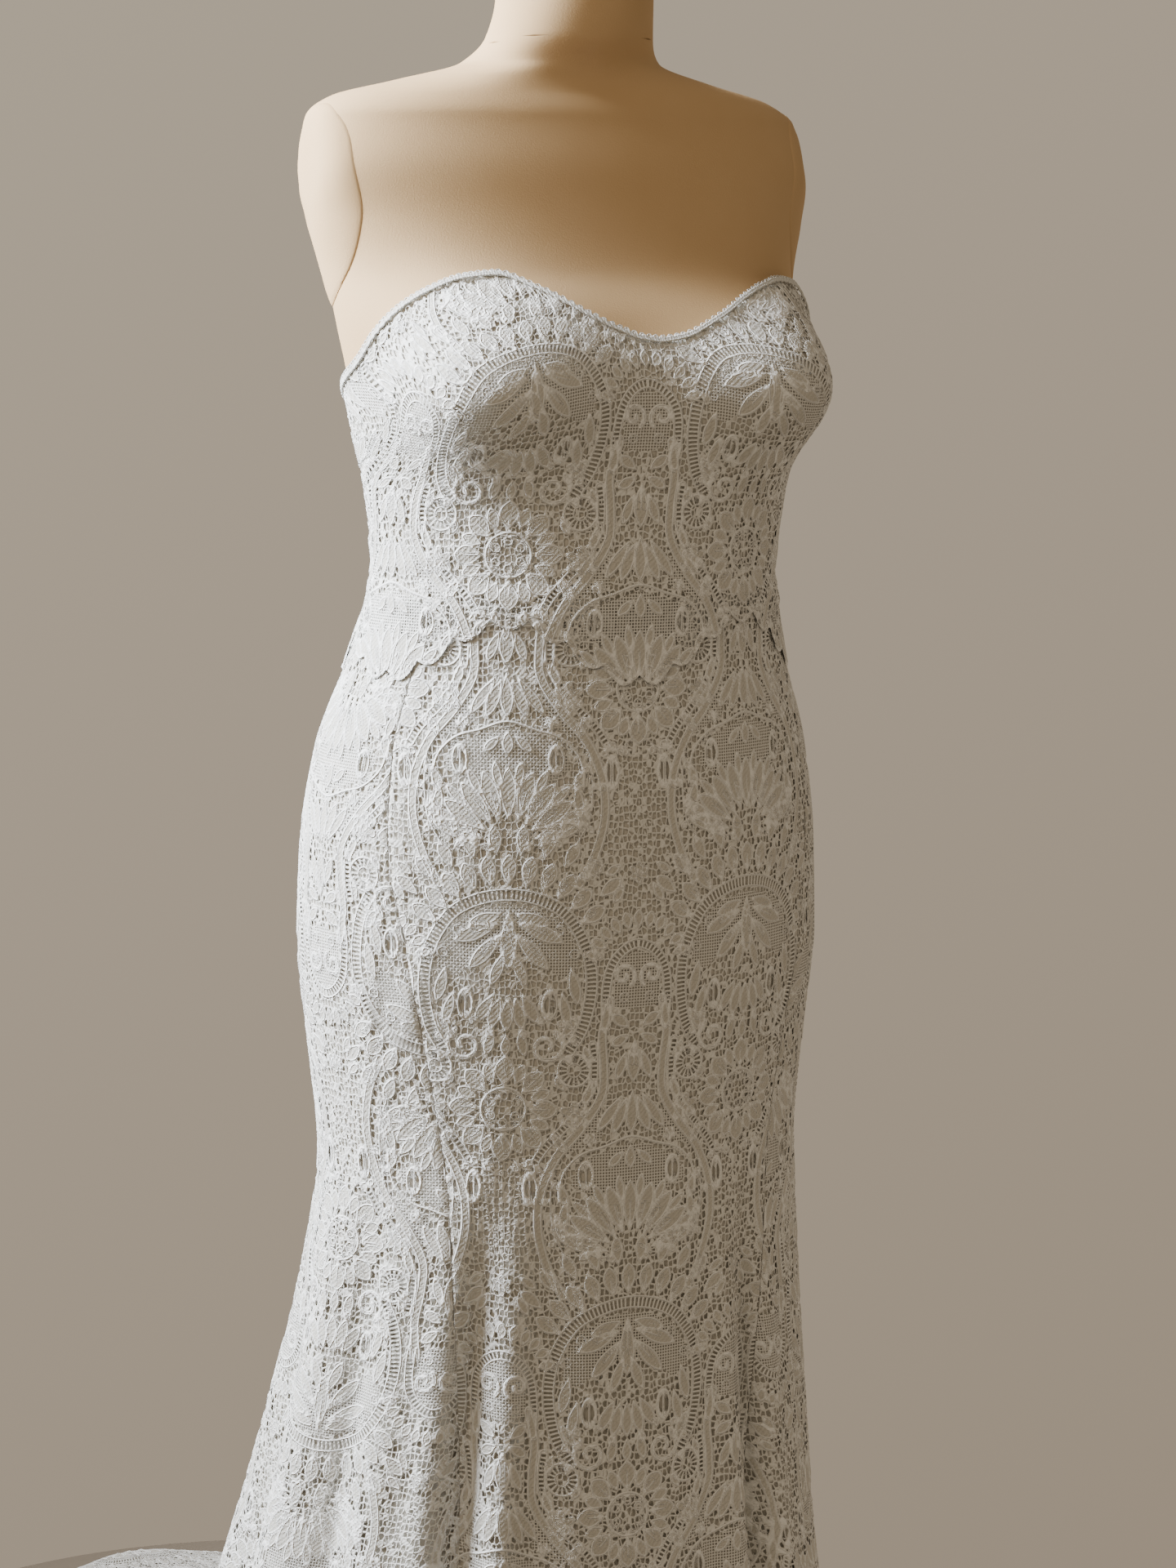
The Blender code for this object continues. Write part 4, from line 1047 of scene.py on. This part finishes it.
def tube_faces(rings, sides, closed):
    """Quads of a tube of closed rings, with the last ring joined to the first where the tube is closed."""
    ring = np.arange(rings if closed else rings - 1)[:, None]
    side = np.arange(sides)[None, :]
    after, beside = (ring + 1) % rings, (side + 1) % sides
    corners = (ring * sides + side, after * sides + side, after * sides + beside, ring * sides + beside)
    return np.stack(corners, -1).reshape(-1, 4)


path, outs, ups = (values[:-1] for values in edge_path(EDGE_TURNS + 1))
run = np.concatenate([[0], np.cumsum(np.linalg.norm(np.diff(path, axis=0), axis=-1))])
turn = np.linspace(0, math.tau, EDGE_SIDES, endpoint=False)
rope = 1 + TWIST_RISE * np.sin(math.tau * run[:, None] / TWIST_PITCH + 2 * turn[None, :])
waist = 1 - WAIST_DEPTH * np.exp(-((np.sin(turn) / WAIST_REACH) ** 2))
out_part = EDGE_THICK / 2 * np.cos(turn) * waist * rope
up_part = EDGE_DEEP / 2 * np.sin(turn) * (1 + rope) / 2
braid = path[:, None] + out_part[..., None] * outs[:, None] + up_part[..., None] * ups[:, None]
picots = int(run[-1] / PICOT_PITCH)
at = (np.arange(picots) + 0.5) / picots * (len(run) - 1)
spots = np.rint(at).astype(int)
centre, out, up = path[spots], outs[spots], ups[spots]
level = np.cross(out, up)
bend = np.linspace(-PICOT_PAST, 1 + PICOT_PAST, PICOT_STEPS) * math.pi
ring_way = np.cos(bend)[None, :, None] * level[:, None] + np.sin(bend)[None, :, None] * up[:, None]
loop = centre[:, None] + (EDGE_DEEP / 2 - PICOT_SINK) * up[:, None] + PICOT_RADIUS * ring_way
round_cord = np.linspace(0, math.tau, PICOT_SIDES, endpoint=False)
thick_way = np.cos(round_cord)[:, None] * ring_way[:, :, None]
thick_way = thick_way + np.sin(round_cord)[:, None] * out[:, None, None]
loop = (loop[:, :, None] + PICOT_CORD * thick_way).reshape(-1, 3)
loop_faces = tube_faces(PICOT_STEPS, PICOT_SIDES, False)
loop_faces = (loop_faces + PICOT_STEPS * PICOT_SIDES * np.arange(picots)[:, None, None]).reshape(-1, 4)
faces = np.concatenate([tube_faces(EDGE_TURNS, EDGE_SIDES, True), loop_faces + braid.size // 3])
piece = make_piece("picot_braid", np.concatenate([braid.reshape(-1, 3), loop]), faces, cotton_braid())
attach(piece, "root")
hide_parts("neck_edging")

# Dress form
# The form is a hollow moulded torso padded and covered in tan jersey. It has a smooth bust, flat oval
# plates at the arms, a seam round the base of the neck and a cap on the neck. The dress fits it closely.
FORM_CUP_RELIEF = 11.0 * MM
CLEAR_HEIGHTS = np.array((0.70, 1.06, 1.13, 1.20, 1.27, 1.32, 1.50))
CLEAR_FRONT = np.array((1.1, 1.1, 3.0, 3.5, 3.0, 1.0, 0.0)) * MM
CLEAR_BACK = np.array((1.1, 1.1, 1.1, 1.1, 1.0, 0.8, 0.0)) * MM
TORSO_BOTTOM, NECK_TOP = 0.700, 1.500
TORSO_STOPS = (TORSO_BOTTOM, 1.26, 1.36, 1.425, NECK_TOP)
TORSO_ROWS = (60, 22, 40, 24)
TORSO_COLUMNS = 180
ARM_FACE, ARM_SOFT, ARM_FACE_FROM = 0.187, 0.0035, 1.15
ARM_PLATE_DEEP, ARM_PLATE_TALL = 0.039, 0.064
ARM_PLATE_Y, ARM_PLATE_Z = 0.002, 1.322
ARM_PLATE_SIDES = 72
# Rims of the arm plates: share of the full size, and millimetres out from the torso
ARM_RIMS = np.array(
    [
        (1.10, -9.0),
        (1.12, -1.0),
        (1.12, 0.5),
        (1.10, 1.2),
        (1.05, 1.9),
        (0.95, 2.8),
        (0.70, 4.2),
        (0.40, 5.2),
        (0.10, 5.6),
    ]
)
# Rims of the neck cap: radius in millimetres, and millimetres up
CAP_RIMS = np.array(((52, 0), (52, 2.2), (51, 3.4), (49, 4.6), (44, 5.9), (34, 7.0), (20, 7.7), (4, 8.0)))
TOUCH_GAP = 0.3 * MM
NECK_SEAM, SEAM_HALF = 1.4365, 0.9


def tan_jersey():
    """Cotton jersey, knitted and stretched tight: matt, with a grain drawn about 1 mm wide to show."""
    material, tree, shader = start_material("cotton_jersey", "#CAAB82", 0.85)
    shader.inputs["Specular IOR Level"].default_value = 0.15
    place = add(tree, "TexCoord").outputs["Object"]
    grain = add(tree, "TexNoise", {"Vector": place, "Scale": 900.0, "Detail": 2.0}).outputs["Fac"]
    patches = add(tree, "TexNoise", {"Vector": place, "Scale": 14.0, "Detail": 3.0}).outputs["Fac"]
    tint = add(tree, "Mix", {0: patches, 6: linear("#C2A277"), 7: linear("#CEB088")}, data_type="RGBA")
    seam = add(tree, "Attribute", attribute_name="seam").outputs["Fac"]
    groove = add(tree, "MapRange", {"Value": seam, "From Min": SEAM_HALF, "From Max": 0.2}).outputs[0]
    shaded = add(tree, "Mix", {0: groove, 6: tint.outputs[2], 7: linear("#876B48")}, data_type="RGBA")
    tree.links.new(shaded.outputs[2], shader.inputs["Base Color"])
    depth = add(tree, "Math", {0: groove, 1: -2.0, 2: grain}, operation="MULTIPLY_ADD")
    bump = add(tree, "Bump", {"Height": depth.outputs[0], "Strength": 0.4, "Distance": 0.4 * MM})
    tree.links.new(bump.outputs["Normal"], shader.inputs["Normal"])
    return material


def make_form_piece(name, node, points, rings, sides, material, seam):
    """A closed piece from rings of points, bottom ring first, with a flat face across each end."""
    faces = tube_faces(rings, sides, False)[:, ::-1].tolist()
    faces.append(list(range(sides))[::-1])
    faces.append(list(range((rings - 1) * sides, rings * sides)))
    mesh = bpy.data.meshes.new(name)
    mesh.from_pydata(points.reshape(-1, 3).tolist(), [], faces)
    mesh.shade_smooth()
    mesh.set_sharp_from_angle(angle=math.radians(50))
    mesh.attributes.new("seam", "FLOAT", "POINT").data.foreach_set("value", seam.astype(np.float32).ravel())
    mesh.materials.append(material)
    piece = bpy.data.objects.new(name, mesh)
    bpy.context.scene.collection.objects.link(piece)
    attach(piece, "root")
    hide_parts(node)


def torso_surface(around, level):
    """The worn body less the dress's clearance, its sides pressed flat at the arms by a soft limit on x."""
    points, out = body_point(around, level + 0 * around, CUP_OUT - FORM_CUP_RELIEF, worn=False)
    forward = 0.5 + 0.5 * np.cos(np.radians(around))
    front_clear, back_clear = (along(level, CLEAR_HEIGHTS, clear) for clear in (CLEAR_FRONT, CLEAR_BACK))
    points[..., :2] -= (back_clear + (front_clear - back_clear) * forward)[..., None] * out
    beyond = np.abs(points[..., 0]) - ARM_FACE
    softened = ARM_SOFT * np.log1p(np.exp(np.clip(beyond / ARM_SOFT, -30, 30)))
    points[..., 0] -= np.sign(points[..., 0]) * softened * (level > ARM_FACE_FROM)
    return points


jersey = tan_jersey()
spans = zip(TORSO_STOPS, TORSO_STOPS[1:], TORSO_ROWS)
stretches = [np.linspace(low, high, count, endpoint=False) for low, high, count in spans]
level = np.concatenate(stretches + [[NECK_TOP]])[:, None]
around = np.linspace(-180, 180, TORSO_COLUMNS, endpoint=False)[None, :]
torso = torso_surface(around, level)
seam = np.abs(level - NECK_SEAM - 0.006 * np.cos(np.radians(around))) / MM
centre_back = np.where(torso[..., 1] > 0, np.abs(torso[..., 0]) / MM, FAR)
seam = np.minimum(seam, centre_back)
make_form_piece("jersey_torso", "form_torso", torso, len(level), TORSO_COLUMNS, jersey, seam)
for side, name in ((-1, "right"), (1, "left")):
    turn = side * np.linspace(0, math.tau, ARM_PLATE_SIDES, endpoint=False)
    plate_y = ARM_PLATE_Y + ARM_RIMS[:, :1] * ARM_PLATE_DEEP * np.cos(turn)
    plate_z = ARM_PLATE_Z + ARM_RIMS[:, :1] * ARM_PLATE_TALL * np.sin(turn)
    beside = torso_surface(np.linspace(30, 150, 121)[None, :], plate_z.reshape(-1, 1))
    reach = [np.interp(y, ring[:, 1], ring[:, 0]) for y, ring in zip(plate_y.ravel(), beside)]
    plate_x = side * (np.reshape(reach, plate_y.shape) + ARM_RIMS[:, 1:] * MM)
    plate = np.stack([plate_x, plate_y, plate_z], -1)
    away = np.full(plate.shape[:2], FAR)
    node = "arm_plate_" + name
    make_form_piece("jersey_" + node, "form_" + node, plate, len(ARM_RIMS), ARM_PLATE_SIDES, jersey, away)
turn = np.linspace(0, math.tau, ARM_PLATE_SIDES, endpoint=False)
cap = np.stack(
    [
        CAP_RIMS[:, :1] * MM * np.cos(turn),
        body_size(NECK_TOP, "centre") + CAP_RIMS[:, :1] * MM * np.sin(turn),
        NECK_TOP + TOUCH_GAP + CAP_RIMS[:, 1:] * MM + 0 * turn,
    ],
    -1,
)
away = np.full(cap.shape[:2], FAR)
make_form_piece("jersey_neck_cap", "form_neck_cap", cap, len(CAP_RIMS), ARM_PLATE_SIDES, jersey, away)

# Stand
# The form stands on a steel tube in a round steel base plate with a hub. The tube is satin brushed, and the
# plate is enamelled off-white. The skirt hides both, except from below.


def brushed_steel():
    """Steel tube, drawn and brushed round: fine streaks, drawn 1 mm wide to show, over a soft gleam."""
    material, tree, shader = start_material("brushed_steel", "#B9B8B4", 0.35)
    shader.inputs["Metallic"].default_value = 1.0
    place = add(tree, "TexCoord").outputs["Object"]
    long_way = add(tree, "Mapping", {"Vector": place, "Scale": (30.0, 30.0, 900.0)}).outputs[0]
    streaks = add(tree, "TexNoise", {"Vector": long_way, "Scale": 1.0, "Detail": 2.0}).outputs["Fac"]
    rough = add(tree, "MapRange", {"Value": streaks, "To Min": 0.25, "To Max": 0.5}).outputs[0]
    tree.links.new(rough, shader.inputs["Roughness"])
    bump = add(tree, "Bump", {"Height": streaks, "Strength": 0.15, "Distance": 0.05 * MM})
    tree.links.new(bump.outputs["Normal"], shader.inputs["Normal"])
    return material


def base_enamel():
    """Stove enamel, sprayed on steel: hard and semi-gloss, with a faint orange peel of about 3 mm."""
    material, tree, shader = start_material("stove_enamel", "#D9D6CE", 0.38)
    place = add(tree, "TexCoord").outputs["Object"]
    peel = add(tree, "TexNoise", {"Vector": place, "Scale": 330.0, "Detail": 1.0}).outputs["Fac"]
    bump = add(tree, "Bump", {"Height": peel, "Strength": 0.12, "Distance": 0.1 * MM})
    tree.links.new(bump.outputs["Normal"], shader.inputs["Normal"])
    dust = add(tree, "TexNoise", {"Vector": place, "Scale": 20.0, "Detail": 4.0}).outputs["Fac"]
    tint = add(tree, "Mix", {0: dust, 6: linear("#CFCBC1"), 7: linear("#DDDAD3")}, data_type="RGBA")
    tree.links.new(tint.outputs[2], shader.inputs["Base Color"])
    return material


for node, finish in (("stand_pole", brushed_steel()), ("stand_base", base_enamel())):
    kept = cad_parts[node]
    kept.data.materials.clear()
    kept.data.materials.append(finish)

# Room
# A warm grey floor that holds the train, a warm grey room, and one large window high at the viewer's left.
# A weak warm fill comes from above the camera's left, and a weaker one from low down at the right. The
# camera stands 3 m from the form's axis.
FLOOR_CENTRE, FLOOR_RADII, FLOOR_SIDES = (0.0, 0.4485), (0.500, 0.668), 128
FLOOR_TOP, FLOOR_THICK = -0.6 * MM, 4.0 * MM
WALL_LOW, WALL_HIGH, ROOM_COLOUR = "#A19280", "#B9AC99", "#837766"
VIEW_TURN, CAMERA_AWAY, CAMERA_ASIDE, CAMERA_HEIGHT, CAMERA_DOWN = 23.5, 3.0, 0.0216, 1.24, 6.5
LENS, SENSOR = 93.43, 36.0
WINDOW_TURN, WINDOW_AWAY, WINDOW_HEIGHT = 85.0, 1.8, 2.2
WINDOW_SIZE, WINDOW_POWER, WINDOW_COLOUR = (1.0, 1.3), 77.0, "#F3F8FF"
WINDOW_SPREAD, OPEN_SPREAD, LIGHT_TARGET = 80.0, 180.0, (0, 0, 1.1)
FILL_PLACE, FILL_SIZE, FILL_POWER, FILL_COLOUR = (-2.4, -1.9, 2.7), 1.2, 30.0, "#FFE9CC"
WALL_BOUNCE_AWAY, WALL_BOUNCE_HEIGHT, WALL_BOUNCE_POWER = 1.6, 0.45, 3.0


def aim(thing, place, target):
    """Puts a light or the camera at a place, turned to look at a target."""
    thing.location = place
    thing.rotation_euler = (Vector(target) - Vector(place)).to_track_quat("-Z", "Y").to_euler()
    bpy.context.scene.collection.objects.link(thing)


def hang_light(name, place, size, power, spread, colour):
    """A rectangular light that faces the dress."""
    light = bpy.data.lights.new(name, "AREA")
    light.shape = "RECTANGLE"
    light.size, light.size_y = size
    light.energy = power
    light.spread = math.radians(spread)
    light.color = linear(colour)[:3]
    aim(bpy.data.objects.new(name, light), place, LIGHT_TARGET)


forward = np.array((math.sin(math.radians(VIEW_TURN)), math.cos(math.radians(VIEW_TURN))))
rightward = np.array((forward[1], -forward[0]))
window_turn = math.radians(WINDOW_TURN)
window_way = -math.cos(window_turn) * forward - math.sin(window_turn) * rightward
window_place = (*(WINDOW_AWAY * window_way), WINDOW_HEIGHT)
hang_light("window", window_place, WINDOW_SIZE, WINDOW_POWER, WINDOW_SPREAD, WINDOW_COLOUR)
hang_light("fill", FILL_PLACE, (FILL_SIZE, FILL_SIZE), FILL_POWER, OPEN_SPREAD, FILL_COLOUR)
bounce_place = (*(WALL_BOUNCE_AWAY * rightward), WALL_BOUNCE_HEIGHT)
hang_light("wall_bounce", bounce_place, (FILL_SIZE, FILL_SIZE), WALL_BOUNCE_POWER, OPEN_SPREAD, FILL_COLOUR)
world = bpy.data.worlds.new("room")
bpy.context.scene.world = world
world.use_nodes = True
tree = world.node_tree
way = add(tree, "TexCoord").outputs["Generated"]
ahead = add(tree, "VectorMath", {0: way, 1: (*forward, 0)}, operation="DOT_PRODUCT").outputs["Value"]
leaning = (*(-0.5 * rightward), 1)
up_left = add(tree, "VectorMath", {0: way, 1: leaning}, operation="DOT_PRODUCT").outputs["Value"]
rise = add(tree, "MapRange", {"Value": up_left, "From Min": -0.37, "From Max": 0.15}).outputs[0]
wall = add(tree, "Mix", {0: rise, 6: linear(WALL_LOW), 7: linear(WALL_HIGH)}, data_type="RGBA").outputs[2]
facing = add(tree, "MapRange", {"Value": ahead, "From Min": -0.25, "From Max": 0.7}).outputs[0]
room = add(tree, "Mix", {0: facing, 6: linear(ROOM_COLOUR), 7: wall}, data_type="RGBA").outputs[2]
tree.links.new(room, tree.nodes["Background"].inputs[0])

paint, tree, shader = start_material("painted_floor", "#81776A", 0.9)
shader.inputs["Specular IOR Level"].default_value = 0.1
place = add(tree, "TexCoord").outputs["Object"]
grain = add(tree, "TexNoise", {"Vector": place, "Scale": 60.0, "Detail": 4.0}).outputs["Fac"]
bump = add(tree, "Bump", {"Height": grain, "Strength": 0.1, "Distance": 0.5 * MM})
tree.links.new(bump.outputs["Normal"], shader.inputs["Normal"])
turn = np.linspace(0, math.tau, FLOOR_SIDES, endpoint=False)
disc = np.array(FLOOR_CENTRE) + np.stack([np.cos(turn), np.sin(turn)], -1) * FLOOR_RADII
rings = [(x, y, z) for z in (FLOOR_TOP, FLOOR_TOP - FLOOR_THICK) for x, y in disc]
corner = np.arange(FLOOR_SIDES)
after = np.roll(corner, -1)
sides = np.stack([corner, corner + FLOOR_SIDES, after + FLOOR_SIDES, after], -1)
mesh = bpy.data.meshes.new("floor")
mesh.from_pydata(rings, [], [corner.tolist(), (corner[::-1] + FLOOR_SIDES).tolist()] + sides.tolist())
mesh.materials.append(paint)
floor = bpy.data.objects.new("floor", mesh)
bpy.context.scene.collection.objects.link(floor)

lens = bpy.data.cameras.new("camera")
lens.lens, lens.sensor_width = LENS, SENSOR
camera = bpy.data.objects.new("camera", lens)
spot = -CAMERA_AWAY * forward + CAMERA_ASIDE * rightward
down = math.radians(CAMERA_DOWN)
sight = (*(math.cos(down) * forward), -math.sin(down))
aim(camera, (*spot, CAMERA_HEIGHT), (*(spot + sight[:2]), CAMERA_HEIGHT + sight[2]))
bpy.context.scene.camera = camera
